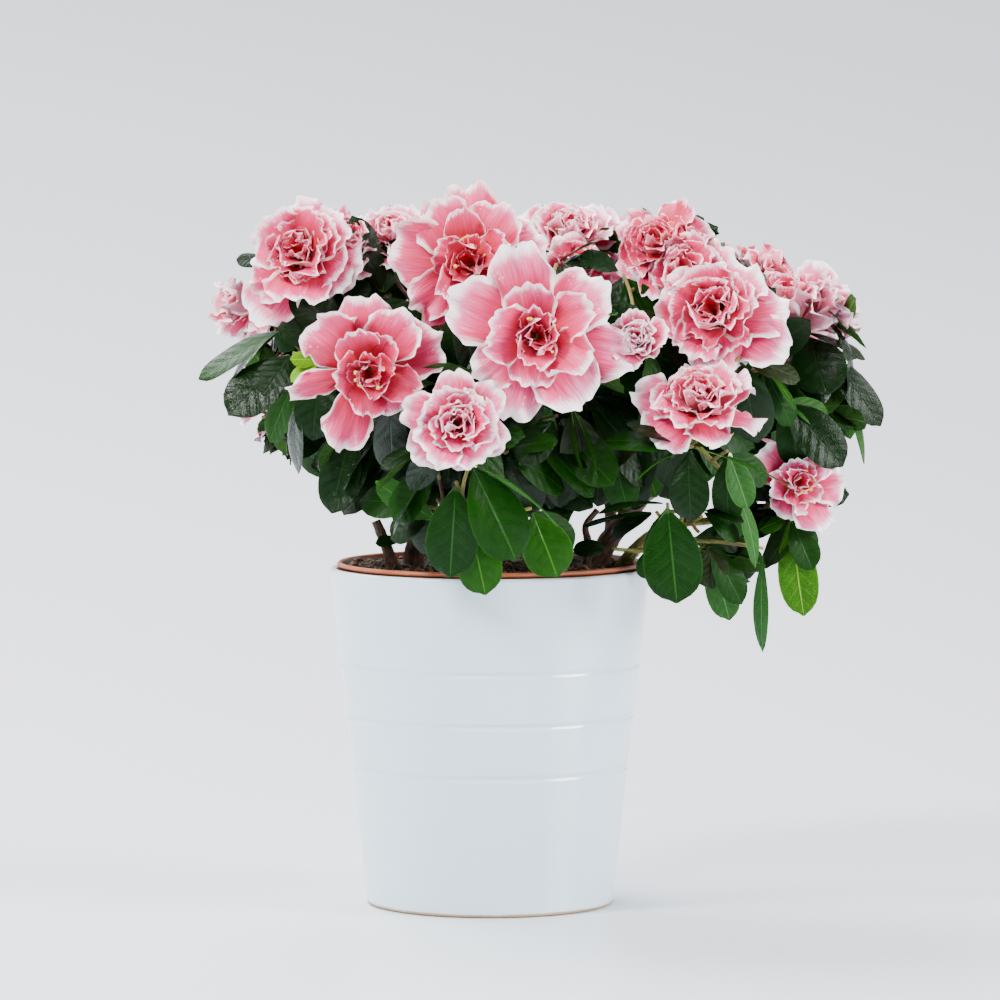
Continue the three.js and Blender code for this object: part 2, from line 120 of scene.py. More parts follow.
# Show flowers: heart of the flower, the way it faces, its width, its habit, how deep its colour
# is, its region, and the lobes of its outermost ring as bearing, reach and breadth (bearing
# as it looks from the front of the flower, 0 right and 90 up). An empty ring is dealt evenly.
FLOWERS = (
    ((-78, -42, 279), (-0.35, -0.88, 0.30), 54, "full", 0, "left",
     ((110, 26, 25), (150, 24, 20), (182, 25, 23), (237, 33, 24), (266, 22, 20), (329, 21, 21),
      (3, 22, 26), (60, 22, 24))),
    ((-62, -30, 283), (0.35, -0.60, 0.70), 34, "full", 0, "left", ()),
    ((-42, -18, 285), (0.0, -0.60, 0.80), 36, "full", -1, "left", ()),
    ((-8, -52, 277), (-0.05, -0.97, 0.20), 62, "open", 1, "left",
     ((97, 33, 27), (22, 31, 30), (62, 27, 24), (172, 33, 29), (223, 30, 19), (248, 34, 21),
      (128, 29, 25), (320, 28, 24))),
    ((-50, -86, 233), (0.12, -0.97, -0.10), 58, "open", 1, "left",
     ((100, 30, 25), (144, 31, 26), (30, 31, 26), (253, 34, 20), (198, 33, 11), (322, 21, 19),
      (62, 27, 23))),
    ((-14, -104, 212), (0.10, -0.95, 0.12), 42, "full", -1, "left",
     ((223, 21, 19), (345, 21, 17), (95, 21, 17), (45, 22, 18), (300, 18, 17), (165, 21, 17))),
    ((-102, -2, 258), (-0.92, -0.25, -0.12), 28, "funnel", 0, "left", ()),
    ((19, -96, 248), (0.05, -0.99, 0.08), 70, "open", 0, "right",
     ((107, 38, 26), (42, 35, 26), (350, 40, 24), (307, 33, 28), (254, 34, 25), (218, 29, 20),
      (160, 38, 27))),
    ((34, 2, 285), (0.0, -0.65, 0.75), 48, "full", -1, "right", ()),
    ((37, -24, 272), (0.10, -0.85, 0.35), 34, "full", 0, "right", ()),
    ((72, -28, 282), (-0.30, -0.72, 0.60), 44, "full", 1, "right", ()),
    ((84, -42, 270), (-0.25, -0.80, 0.50), 44, "full", 0, "right", ()),
    ((94, -64, 256), (-0.22, -0.90, 0.34), 54, "full", 0, "right",
     ((152, 26, 21), (112, 23, 21), (55, 24, 23), (9, 29, 25), (333, 33, 23), (287, 24, 28),
      (234, 18, 22))),
    ((86, -90, 219), (0.0, -0.66, 0.75), 45, "full", 0, "right", ()),
    ((62, -80, 245), (-0.15, -0.92, 0.30), 26, "bud", -1, "right", ()),
    ((129, -15, 253), (-0.22, -0.30, 0.93), 33, "funnel", 1, "right", ()),
    ((136, -9, 252), (0.80, -0.32, 0.50), 37, "funnel", 0, "right", ()),
    ((130, -36, 183), (0.30, -0.92, 0.22), 38, "open", -1, "right",
     ((147, 20, 18), (100, 20, 10), (13, 20, 23), (56, 19, 19), (306, 21, 21), (250, 14, 15))),
)

# Sprays of leaves that show: where the leaves spring from, then for each leaf its bearing
# seen from the front (0 right, 90 up), length, width, lean towards the viewer, roll (0 faces
# the viewer, 90 is edge on) and tone.
SPRAYS = {
    "left": (
        ((-87, -42, 249), ((207, 40, 14, 2, 24, "m"), (214, 32, 16, 5, 25, "s"))),
        ((-83, -45, 239), ((222, 37, 22, 21, 3, "d"), (232, 22, 17, 34, -5, "d"))),
        ((-79, -48, 232), ((257, 43, 15, 8, 25, "s"), (240, 34, 15, -10, 20, "b"))),
        ((-70, -55, 236), ((260, 32, 19, 12, 5, "d"), (205, 15, 8, 25, 20, "l"),
                           (175, 13, 7, 30, -20, "l"))),
        ((-64, -42, 246), ((128, 26, 19, 15, 5, "d"), (172, 24, 14, 10, -20, "d"))),
        ((-57, -62, 209), ((253, 36, 19, 8, 8, "d"), (218, 22, 9, 8, 65, "s"), (236, 25, 15, -8, 0, "d"))),
        ((-48, -62, 203), ((236, 33, 14, 8, 10, "d"), (228, 24, 11, 18, 35, "s"))),
        ((-23, -85, 193), ((228, 33, 12, 10, 35, "s"), (230, 27, 17, -6, 5, "m"))),
        ((-26, -82, 202), ((215, 27, 9, 10, 50, "s"), (196, 20, 11, 15, 30, "d"))),
        ((-23, -72, 175), ((208, 21, 14, 6, 10, "d"), (250, 20, 12, -10, 0, "d"))),
        ((-36, -22, 158), ((180, 11, 7, 10, 20, "m"), (30, 12, 7, 10, 20, "m"))),
        ((-14, -99, 188), ((266, 39, 22, 6, -8, "v"),)),
        ((-8, -104, 196), ((297, 43, 24, 6, 6, "m"), (336, 43, 9, 4, 62, "p"))),
        ((-9, -91, 173), ((283, 32, 19, 10, 4, "b"), (250, 26, 16, -8, 0, "d"))),
        ((17, -84, 176), ((292, 29, 21, 10, 2, "b"), (318, 24, 14, -12, 10, "m"))),
        ((6, -85, 199), ((22, 21, 11, 10, 20, "m"), (300, 30, 17, -5, 8, "d"),
                         (335, 31, 15, -12, 15, "m"))),
        ((18, -76, 204), ((305, 34, 17, -8, 8, "d"), (350, 32, 17, -5, 5, "d"), (325, 33, 14, 8, 25, "m"))),
        ((-52, -8, 290), ((50, 12, 6, 0, 20, "d"),)),
        ((-93, -20, 276), ((172, 13, 8, 0, 10, "d"),)),
        ((-45, -32, 262), ((108, 35, 14, 5, 30, "d"), (80, 24, 15, -10, 20, "d"),
                           (265, 30, 16, 20, 10, "s"))),
        ((-52, -40, 262), ((215, 24, 15, 25, 10, "d"), (330, 30, 17, 10, 0, "d"),
                           (285, 28, 15, 20, 15, "s"))),
    ),
    "right": (
        ((34, -78, 218), ((283, 33, 19, -5, 12, "z"), (300, 30, 7, 6, 66, "b"), (270, 29, 6, 6, 66, "b"))),
        ((40, -70, 222), ((312, 38, 18, -4, 12, "d"), (345, 36, 15, 6, 30, "d"),
                          (250, 26, 15, 0, 15, "d"))),
        ((29, -62, 197), ((330, 18, 9, 8, 20, "b"), (300, 24, 14, 2, 10, "d"))),
        ((52, -30, 155), ((178, 15, 9, 12, 10, "d"),)),
        ((70, -50, 172), ((183, 30, 9, 5, 52, "m"), (200, 22, 10, -10, 20, "d"))),
        ((48, -66, 207), ((262, 31, 17, -4, 8, "d"), (288, 33, 16, 6, 10, "m"),
                          (236, 27, 14, 4, 20, "d"), (312, 28, 14, 0, 20, "d"))),
        ((60, -56, 203), ((268, 29, 16, 4, 8, "d"), (296, 27, 14, -8, 12, "b"),
                          (240, 26, 14, -4, 10, "m"))),
        ((68, -64, 214), ((252, 36, 18, -2, 10, "d"), (292, 33, 17, -8, 10, "d"),
                          (226, 28, 14, 8, 25, "z"))),
        ((82, -93, 202), ((270, 29, 17, 14, 2, "d"), (348, 42, 8, 6, 62, "b"), (200, 24, 7, 10, 62, "b"),
                          (14, 14, 7, 12, 40, "b"), (152, 26, 12, 8, 40, "d"), (170, 33, 15, -5, 30, "m"))),
        ((104, -70, 238), ((284, 36, 19, 4, 6, "d"), (205, 28, 13, 8, 30, "z"),
                           (345, 26, 13, -6, 20, "z"))),
        ((99, -70, 199), ((292, 24, 12, 10, 12, "p"), (270, 30, 14, -4, 10, "m"),
                          (325, 22, 12, -12, 8, "m"))),
        ((101, -62, 186), ((297, 37, 9, 6, 42, "p"), (272, 26, 15, -14, 8, "p"))),
        ((115, -55, 157), ((266, 42, 9, 4, 40, "p"),)),
        ((74, -73, 177), ((275, 40, 25, 6, 0, "v"), (174, 28, 9, 6, 52, "d"), (262, 32, 16, -14, 10, "m"))),
        ((88, -66, 174), ((352, 17, 10, 8, 40, "d"), (325, 20, 10, -8, 20, "m"))),
        ((92, -58, 160), ((300, 28, 13, 6, 10, "m"), (275, 18, 15, 12, 10, "z"),
                          (285, 36, 14, -12, 0, "p"))),
        ((66, -36, 157), ((280, 13, 12, 10, 10, "m"), (345, 16, 10, 5, 20, "b"))),
        ((127, -34, 169), ((278, 42, 17, 2, 0, "g"), (295, 23, 13, 14, 6, "m"), (200, 13, 9, 20, 10, "b"),
                           (168, 21, 10, 6, 45, "d"), (318, 16, 8, 4, 20, "m"))),
        ((118, -28, 177), ((150, 16, 9, 4, 45, "p"), (188, 22, 10, 4, 40, "m"))),
        ((135, -12, 246), ((346, 26, 12, 6, 48, "z"), (288, 30, 24, 42, 0, "d"), (236, 21, 8, 8, 60, "z"))),
        ((145, -12, 237), ((307, 36, 14, 4, 12, "d"), (302, 32, 11, -6, 20, "p"))),
        ((149, -9, 226), ((297, 37, 8, 3, 58, "b"), (285, 26, 9, -8, 20, "b"))),
        ((124, -40, 219), ((313, 36, 20, 6, 6, "d"), (338, 22, 13, -8, 10, "b"),
                           (285, 30, 16, -8, 10, "m"))),
        ((115, -50, 232), ((320, 20, 7, 8, 55, "b"), (300, 26, 12, -6, 20, "m"),
                           (240, 24, 12, 6, 20, "d"))),
        ((28, -40, 276), ((38, 18, 10, 5, 35, "s"), (10, 17, 9, 4, 20, "d"))),
        ((56, -40, 272), ((300, 26, 18, 12, 8, "m"), (150, 18, 11, 8, 20, "d"), (250, 28, 16, 8, 10, "d"))),
        ((60, -52, 258), ((285, 24, 18, 14, 8, "m"), (210, 24, 14, 8, 10, "d"), (330, 26, 14, 8, 30, "z"))),
        ((-14, -74, 262), ((286, 32, 13, 6, 30, "s"), (262, 30, 13, -4, 20, "d"),
                           (300, 36, 14, -6, 15, "m"))),
    ),
    "rear": (),
}

# Shaded shoots between the front masses and the stems; their leaves keep above a height.
SHADE_SHOOTS = ((-44, -34, 192), (-24, -52, 196), (-6, -58, 194), (14, -56, 197), (32, -46, 201),
                (50, -34, 205), (-30, -20, 200), (4, -28, 202), (64, -40, 212), (28, -74, 214),
                (84, -48, 212), (104, -34, 206), (90, -30, 238), (112, -30, 232), (-62, -20, 214))
SHADE_FLOOR = 172.0

# Where shoots grow away from, and where the twigs are dealt outwards from.
STEM_HEART = (20.0, 0.0, 190.0)
CROWN_HEART = (15.0, -5.0, 190.0)
GOLDEN_ANGLE = 2.39996

# Leaf tones: the material's name, the colours of blade and veins, and the underside's tone.
TONES = {
    "d": ("leaf_dark", "#081e05", "#12290c", "u"),
    "s": ("leaf_blue_dark", "#081e0c", "#1c3a20", "u"),
    "m": ("leaf_mid", "#0f3206", "#1c4810", "u"),
    "v": ("leaf_veined", "#0b2a06", "#1f4c17", "u"),
    "b": ("leaf_bright", "#184408", "#3a6c1c", "y"),
    # g: a bright yellow-green blade and veins that paint the glow of light shining through a leaf from
    # behind.
    "g": ("leaf_painted_backlight", "#2c6406", "#86b03a", "y"),
    "l": ("leaf_young", "#5c9008", "#98b83c", "y"),
    "z": ("leaf_bronze", "#1a2408", "#2c3a14", "u"),
    "p": ("leaf_pale", "#24501c", "#547c44", "y"),
    "u": ("leaf_underside", "#2c4e1c", "#587c42", "u"),
    "y": ("leaf_bright_underside", "#427420", "#7aa048", "y"),
}
TONE_KEYS = tuple(TONES)
CLEAR_VEINED = "vpuyg"
UNDERSIDES = "uy"
SHOW_LEAF_GRID = (10, 6)
LEAF_GRID = (7, 4)
LEAF_THICKNESS = 0.35
LEAF_STALK = 2.0

# For each habit, its rings of petals from the outside in: count, length and breadth as shares
# of the flower's half width, elevation at the foot and at the end in degrees, cup, ruffle, and
# depth of colour.
HABITS = {
    "open": ((6, 1.15, 0.86, 46, -10, -0.05, 0.050, 0), (5, 0.80, 0.60, 60, 22, 0.12, 0.060, 1),
             (4, 0.58, 0.44, 72, 46, 0.45, 0.07, 2), (3, 0.42, 0.34, 82, 66, 0.70, 0.07, 3)),
    "full": ((6, 1.12, 0.94, 42, -12, -0.06, 0.055, 0), (6, 0.98, 0.86, 54, 18, 0.06, 0.065, 1),
             (5, 0.82, 0.76, 66, 40, 0.20, 0.080, 2), (4, 0.66, 0.66, 76, 58, 0.35, 0.10, 2),
             (4, 0.50, 0.56, 82, 70, 0.50, 0.11, 3)),
    "funnel": ((5, 1.50, 1.05, 82, 28, 0.05, 0.06, 0), (5, 1.38, 0.92, 84, 46, 0.15, 0.075, 1),
               (4, 1.20, 0.74, 86, 62, 0.30, 0.09, 1)),
    "bud": ((5, 1.20, 1.05, 72, 30, 0.25, 0.06, 0), (6, 1.05, 0.90, 80, 55, 0.35, 0.07, 0),
            (5, 0.90, 0.72, 84, 68, 0.50, 0.08, 1), (4, 0.74, 0.52, 86, 78, 0.70, 0.08, 1)),
}
SHOW_PETAL_GRID = (12, 16)
PETAL_GRID = (7, 8)
PETAL_THICKNESS = 0.3

# How deep behind its heart a flower's petals meet, as a share of its width, and how much of a
# curved petal's length is seen from the front.
FLOWER_DEPTH = 0.16
FORESHORTENING = 0.87

# UVs lie in a square atlas of this many cells a side, one for each leaf tone or petal look.
UV_MAP = "OFBake"
ATLAS = 4
ATLAS_BORDER = 0.04


# ---------------------------------------------------------------- numbers and directions


def unit(v):
    """Each vector divided by its own length."""
    return v / np.maximum(np.linalg.norm(v, axis=-1, keepdims=True), 1e-9)


def smooth(x, low=0.0, high=1.0):
    """0 below low, 1 above high, and the cubic 3x^2 - 2x^3 between."""
    x = np.clip((x - low) / (high - low), 0.0, 1.0)
    return x * x * (3.0 - 2.0 * x)


def square_to(direction, hint):
    """The part of hint that is square to direction, made one long."""
    return unit(hint - direction * np.sum(hint * direction, axis=-1, keepdims=True))


def turned(v, axis, angle):
    """One vector turned about an axis by an angle (Rodrigues' rule)."""
    cos, sin = math.cos(angle), math.sin(angle)
    return v * cos + np.cross(axis, v) * sin + axis * (axis @ v) * (1 - cos)


def round_axis(axis, hint, steepest):
    """A function of an angle that gives the direction there on the circle round an axis. The
    circle starts towards the hint, or along X where the axis itself is steeper than steepest."""
    first = square_to(axis, np.array(hint if abs(axis[2]) < steepest else [1.0, 0.1, 0.0]))
    second = np.cross(axis, first)
    return lambda turn: first * math.cos(turn) + second * math.sin(turn)


def mass_shape(name):
    """Centre and half sizes of a foliage mass, from its box."""
    low, high = (np.array(corner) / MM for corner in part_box(name))
    return (low + high) / 2, (high - low) / 2


MASSES = {name: mass_shape(name) for names in REGIONS.values() for name in names}


def in_crown(point, grow=1.08):
    """Whether a point lies in any mass, taken as an ellipsoid grown a little."""
    return any(np.sum(((point - centre) / (half * grow)) ** 2) < 1.0 for centre, half in MASSES.values())


# ---------------------------------------------------------------- meshes


def write_object(name, verts, faces, uvs=None, slots=None, materials=(), rim=None):
    """One mesh object from vertices in millimetres and a list of face arrays (triangles or
    quads), with loop UVs and a material slot for each face of each array. Edges whose two
    ends are both marked in rim are creased, so a thin shell keeps its shading to the edge."""
    mesh = bpy.data.meshes.new(name)
    corners = np.concatenate([f.ravel() for f in faces])
    sizes = np.concatenate([np.full(len(f), f.shape[1]) for f in faces])
    starts = np.concatenate([[0], np.cumsum(sizes)[:-1]])
    mesh.vertices.add(len(verts))
    mesh.vertices.foreach_set("co", (verts * MM).astype(np.float32).ravel())
    mesh.loops.add(len(corners))
    mesh.loops.foreach_set("vertex_index", corners.astype(np.int32))
    mesh.polygons.add(len(sizes))
    mesh.polygons.foreach_set("loop_start", starts.astype(np.int32))
    mesh.polygons.foreach_set("use_smooth", np.ones(len(sizes), bool))
    if slots is not None:
        mesh.polygons.foreach_set("material_index", np.concatenate(slots).astype(np.int32))
    if uvs is not None:
        layer = mesh.uv_layers.new(name=UV_MAP)
        layer.data.foreach_set("uv", np.concatenate([u.ravel() for u in uvs]).astype(np.float32))
    for material in materials:
        mesh.materials.append(material)
    mesh.update(calc_edges=True)
    if rim is not None:
        ends = np.empty(2 * len(mesh.edges), np.int32)
        mesh.edges.foreach_get("vertices", ends)
        crease = mesh.attributes.new("sharp_edge", "BOOLEAN", "EDGE")
        crease.data.foreach_set("value", rim[ends.reshape(-1, 2)].all(1))
    mesh.validate()
    piece = bpy.data.objects.new(name, mesh)
    bpy.context.scene.collection.objects.link(piece)
    return piece


def grid_quads(rows, columns, closed=False):
    """Quads over a grid of vertices, rows by columns, wrapping round when closed."""
    wide = columns if closed else columns - 1
    r, c = np.meshgrid(np.arange(rows - 1), np.arange(wide), indexing="ij")
    here, after = r * columns + c, r * columns + (c + 1) % columns
    return np.stack([here, after, after + columns, here + columns], -1).reshape(-1, 4)


def fan(hub, first, count, upwards):
    """Triangles from a hub vertex to the ring of count vertices that starts at first."""
    here = np.arange(count)
    after = (here + 1) % count
    pair = (first + here, first + after) if upwards else (first + after, first + here)
    return np.stack([np.full(count, hub), *pair], -1)


def revolve(profile, segments):
    """A profile of (radius, height), running up the outside from the axis and back to it,
    turned about Z. Its two ends become one vertex each, with a fan of triangles."""
    turn = np.linspace(0, 2 * math.pi, segments, endpoint=False)
    profile = np.array(profile, float)
    body = profile[1:-1]
    ring = np.stack([np.cos(turn), np.sin(turn)], -1)
    height = np.broadcast_to(body[:, None, 1:], (len(body), segments, 1))
    verts = np.concatenate([body[:, None, :1] * ring[None], height], -1).reshape(-1, 3)
    count = len(verts)
    verts = np.vstack([verts, [0, 0, profile[0, 1]], [0, 0, profile[-1, 1]]])
    return verts, [grid_quads(len(body), segments, closed=True), fan(count, 0, segments, False),
                   fan(count + 1, count - segments, segments, True)]


def curve_points(way, count):
    """Points evenly spaced along a Catmull-Rom curve through the way points."""
    way = np.array(way, float)
    ends = np.vstack([2 * way[0] - way[1], way, 2 * way[-1] - way[-2]])
    t = np.linspace(0, 1, 24)[:, None]
    dense = np.vstack([
        0.5 * (2 * p1 + (p2 - p0) * t + (2 * p0 - 5 * p1 + 4 * p2 - p3) * t**2
               + (3 * p1 - p0 - 3 * p2 + p3) * t**3)
        for p0, p1, p2, p3 in zip(ends[:-3], ends[1:-2], ends[2:-1], ends[3:])])
    run = distance_along(dense)
    at = np.linspace(0, run[-1], count)
    return np.stack([np.interp(at, run, dense[:, k]) for k in range(3)], -1)


def distance_along(points):
    """How far along its line each point lies, from 0."""
    return np.concatenate([[0], np.cumsum(np.linalg.norm(np.diff(points, axis=0), axis=1))])


def bezier(start, middle, end, count):
    """Points of the quadratic curve (1-t)^2 start + 2t(1-t) middle + t^2 end."""
    t = np.linspace(0, 1, count)[:, None]
    return (1 - t) ** 2 * start + 2 * t * (1 - t) * middle + t**2 * end


def spindle(count):
    """A half sine cut off near its two ends, so a tube along it closes to a blunt point."""
    return np.sin(math.pi * (0.12 + 0.76 * np.linspace(0, 1, count)))


def tube(points, radii, sides, relief=None):
    """A tube of rings about a line of points, capped at both ends. Ring k stands square to
    the line; relief(around, along, radius) is added to the radius. UVs are millimetres / 100."""
    tangent = unit(np.gradient(points, axis=0))
    sideways = [square_to(tangent[0], np.array([0.31, 0.9, 0.2]))]
    for heading in tangent[1:]:
        sideways.append(square_to(heading, sideways[-1]))
    side = np.array(sideways)
    other = np.cross(tangent, side)
    turn = np.linspace(0, 2 * math.pi, sides, endpoint=False)
    along = distance_along(points)
    radius = np.repeat(np.asarray(radii, float)[:, None], sides, 1)
    if relief is not None:
        radius = radius + relief(turn[None, :], along[:, None], radius)
    ring = np.cos(turn)[None, :, None] * side[:, None] + np.sin(turn)[None, :, None] * other[:, None]
    body = (points[:, None] + radius[..., None] * ring).reshape(-1, 3)
    verts = np.vstack([body, points[0], points[-1]])
    quads = grid_quads(len(points), sides, closed=True)
    row, column = np.divmod(np.arange(len(quads)), sides)
    u = np.stack([column, column + 1, column + 1, column], -1) / sides * 2 * math.pi * np.mean(radii)
    v = np.stack([along[row], along[row], along[row + 1], along[row + 1]], -1)
    caps = np.vstack([fan(len(body), 0, sides, False), fan(len(body) + 1, len(body) - sides, sides, True)])
    cap_turn = caps % sides * 2 * math.pi / sides
    cap_uv = np.stack([np.cos(cap_turn), np.sin(cap_turn)], -1) * 0.02
    return verts, [quads, caps], [np.stack([u, v], -1) / 100, cap_uv]


def joined(name, parts, materials, slot_of):
    """Several (vertices, face arrays, UV arrays) made one object; slot_of gives each part's
    material slot."""
    verts, faces, uvs, slots, start = [], [], [], [], 0
    for (part, part_faces, part_uvs), slot in zip(parts, slot_of):
        verts.append(part)
        faces += [f + start for f in part_faces]
        uvs += part_uvs
        slots += [np.full(len(f), slot) for f in part_faces]
        start += len(part)
    return write_object(name, np.vstack(verts), faces, uvs, slots, materials)


def in_atlas(place, cells):
    """Places in the unit square moved into each shape's own cell of the atlas, clear of the
    cell's border."""
    corner = np.stack([cells % ATLAS, cells // ATLAS], -1)[:, None, None]
    return (corner + ATLAS_BORDER + (1 - 2 * ATLAS_BORDER) * place[None]) / ATLAS


def thin_shells(name, upper, thickness, cells, under_cells, materials, slots, under_slots):
    """Many thin closed shells of one grid layout. upper is (shape, row, column, 3). The lower
    face lies a thickness below, and both share the vertices round the outline. Each face's UV
    is its place on the grid inside its atlas cell, s across and t along."""
    count, rows, columns = upper.shape[:3]
    normal = unit(np.cross(np.gradient(upper, axis=2), np.gradient(upper, axis=1)))
    inner = np.zeros((rows, columns), bool)
    inner[1:-1, 1:-1] = True
    lower = (upper - normal * thickness)[:, inner]
    verts = np.concatenate([upper.reshape(count, -1, 3), lower], 1)
    under = np.arange(rows * columns).reshape(rows, columns)
    under[inner] = rows * columns + np.arange(inner.sum())
    quads = grid_quads(rows, columns)
    below = under.ravel()[quads][:, ::-1]
    start = (np.arange(count) * verts.shape[1])[:, None, None]
    s, t = np.meshgrid(np.linspace(0, 1, columns), np.linspace(0, 1, rows))
    place = np.stack([s.ravel(), t.ravel()], -1)
    faces = [(quads[None] + start).reshape(-1, 4), (below[None] + start).reshape(-1, 4)]
    uvs = [in_atlas(place[quads], cells), in_atlas(place[quads[:, ::-1]], under_cells)]
    chosen = [np.repeat(slots, len(quads)), np.repeat(under_slots, len(quads))]
    outline = np.concatenate([~inner.ravel(), np.zeros(lower.shape[1], bool)])
    return write_object(name, verts.reshape(-1, 3), faces, uvs, chosen, materials, np.tile(outline, count))


# ---------------------------------------------------------------- materials


# Settings of the nodes used most: an eased range, and a blend of colours.
SMOOTH = {"interpolation_type": "SMOOTHSTEP"}
COLOUR = {"data_type": "RGBA"}


def linear(code):
    """Linear red, green, blue and alpha of an sRGB colour code."""
    parts = [int(code[k:k + 2], 16) / 255 for k in (1, 3, 5)]
    return [p / 12.92 if p <= 0.04045 else ((p + 0.055) / 1.055) ** 2.4 for p in parts] + [1.0]


def add(tree, kind, *values, named=None, **settings):
    """One shader node with its settings. Its open inputs in order, and any that are named,
    are each given a value or another node's output. Returns its own first open output."""
    node = tree.nodes.new("ShaderNode" + kind)
    for key, value in settings.items():
        setattr(node, key, value)
    given = list(zip([socket for socket in node.inputs if socket.enabled], values))
    given += [(node.inputs[key], value) for key, value in (named or {}).items()]
    for socket, value in given:
        if isinstance(value, bpy.types.NodeSocket):
            tree.links.new(value, socket)
        else:
            socket.default_value = value
    return next((socket for socket in node.outputs if socket.enabled), None)


def new_material(name):
    """A material, and its tree emptied of nodes."""
    material = bpy.data.materials.new(name)
    material.use_nodes = True
    material.node_tree.nodes.clear()
    return material, material.node_tree


def finish_material(material, sockets):
    """Ends a material in one Principled shader, its sockets given by name."""
    tree = material.node_tree
    add(tree, "OutputMaterial", add(tree, "BsdfPrincipled", named=sockets))
    return material


def atlas_place(tree):
    """Where a shading point is on its leaf or petal: s across (-1 to 1), t along (0 to 1),
    and the column and row of its atlas cell."""
    uv = add(tree, "SeparateXYZ", add(tree, "UVMap", uv_map=UV_MAP)).node.outputs
    u = add(tree, "Math", uv[0], float(ATLAS), operation="MULTIPLY")
    v = add(tree, "Math", uv[1], float(ATLAS), operation="MULTIPLY")
    inside = 1 - 2 * ATLAS_BORDER
    in_cell = [add(tree, "Math", axis, operation="FRACT") for axis in (u, v)]
    s = add(tree, "Math", in_cell[0], 2 / inside, -1 - 2 * ATLAS_BORDER / inside, operation="MULTIPLY_ADD")
    t = add(tree, "Math", in_cell[1], 1 / inside, -ATLAS_BORDER / inside, operation="MULTIPLY_ADD")
    column, row = (add(tree, "Math", axis, operation="FLOOR") for axis in (u, v))
    return s, t, column, row


def glaze_material():
    """White tin glaze on earthenware: a glassy coat, so clear reflections with a faint ripple,
    a few pinhole specks, and a bare buff ring of clay at the foot."""
    material, tree = new_material("white_glaze")
    place = add(tree, "TexCoord").node.outputs["Object"]
    height = add(tree, "SeparateXYZ", place).node.outputs[2]
    cloud = add(tree, "TexNoise", place, 14.0, 3.0, 0.55)
    white = add(tree, "Mix", cloud, linear("#c9dae7"), linear("#c1d2df"), **COLOUR)
    speck = add(tree, "TexVoronoi", place, 26.0)
    pinhole = add(tree, "MapRange", speck, 0.018, 0.008, **SMOOTH)
    white = add(tree, "Mix", pinhole, white, linear("#b9b2a6"), **COLOUR)
    # The bare ring is 0.8 to 1.7 mm high, its upper edge wandering.
    wander = add(tree, "TexNoise", place, 90.0, 2.0, 0.55)
    edge = add(tree, "Math", wander, 0.0009, 0.0008, operation="MULTIPLY_ADD")
    above = add(tree, "Math", height, edge, operation="SUBTRACT")
    foot = add(tree, "MapRange", above, 0.0004, 0.0, **SMOOTH)
    ripple = add(tree, "TexNoise", place, 22.0, 1.0, 0.55)
    return finish_material(material, {
        "Base Color": add(tree, "Mix", foot, white, linear("#a98d6c"), **COLOUR),
        "Roughness": add(tree, "Math", foot, 0.5, 0.16, operation="MULTIPLY_ADD"),
        "Normal": add(tree, "Bump", named={"Strength": 0.35, "Distance": 0.0016, "Height": ripple}),
        "IOR": 1.5, "Coat Weight": 0.5, "Coat Roughness": 0.12})


def liner_material():
    """Injection-moulded polypropylene in terracotta brown: dull and faintly mottled."""
    material, tree = new_material("terracotta_plastic")
    place = add(tree, "TexCoord").node.outputs["Object"]
    cloud = add(tree, "TexNoise", place, 60.0, 4.0, 0.55)
    mottle = add(tree, "MapRange", cloud, 0.35, 0.75, **SMOOTH)
    grain = add(tree, "TexNoise", place, 900.0, 2.0, 0.55)
    return finish_material(material, {
        "Base Color": add(tree, "Mix", mottle, linear("#a35734"), linear("#8a452a"), **COLOUR),
        "Roughness": add(tree, "Math", cloud, 0.3, 0.35, operation="MULTIPLY_ADD"),
        "Normal": add(tree, "Bump", named={"Strength": 0.4, "Distance": 0.0002, "Height": grain})})


def peat_material():
    """Moist fibrous peat: brown crumbs, painted shade that makes the hollows between them nearly black, a
    few dry buff flecks.
    """
    material, tree = new_material("moist_peat")
    place = add(tree, "TexCoord").node.outputs["Object"]
    crumbs = add(tree, "TexNoise", place, 260.0, 6.0, 0.7)
    patches = add(tree, "TexNoise", place, 55.0, 3.0, 0.55)
    # Painted shade: where the crumb noise, which is also the bump's height, is low, the colour goes nearly
    # black.
    raised = add(tree, "MapRange", crumbs, 0.38, 0.66, **SMOOTH)
    brown = add(tree, "Mix", raised, linear("#0c0704"), linear("#3a2618"), **COLOUR)
    both = add(tree, "Math", crumbs, patches, operation="MULTIPLY")
    flecks = add(tree, "MapRange", both, 0.33, 0.42, **SMOOTH)
    return finish_material(material, {
        "Base Color": add(tree, "Mix", flecks, brown, linear("#8f7656"), **COLOUR),
        "Roughness": 0.9,
        "Normal": add(tree, "Bump", named={"Strength": 0.9, "Distance": 0.0022, "Height": crumbs})})


def fibre_material(name, code, other):
    """Dry root fibre or bark chip: matt, streaked along its length."""
    material, tree = new_material(name)
    place = add(tree, "TexCoord").node.outputs["Object"]
    streak = add(tree, "TexNoise", place, 420.0, 3.0, 0.55)
    return finish_material(material, {
        "Base Color": add(tree, "Mix", streak, linear(code), linear(other), **COLOUR),
        "Roughness": 0.8,
        "Normal": add(tree, "Bump", named={"Strength": 0.6, "Distance": 0.0003, "Height": streak})})


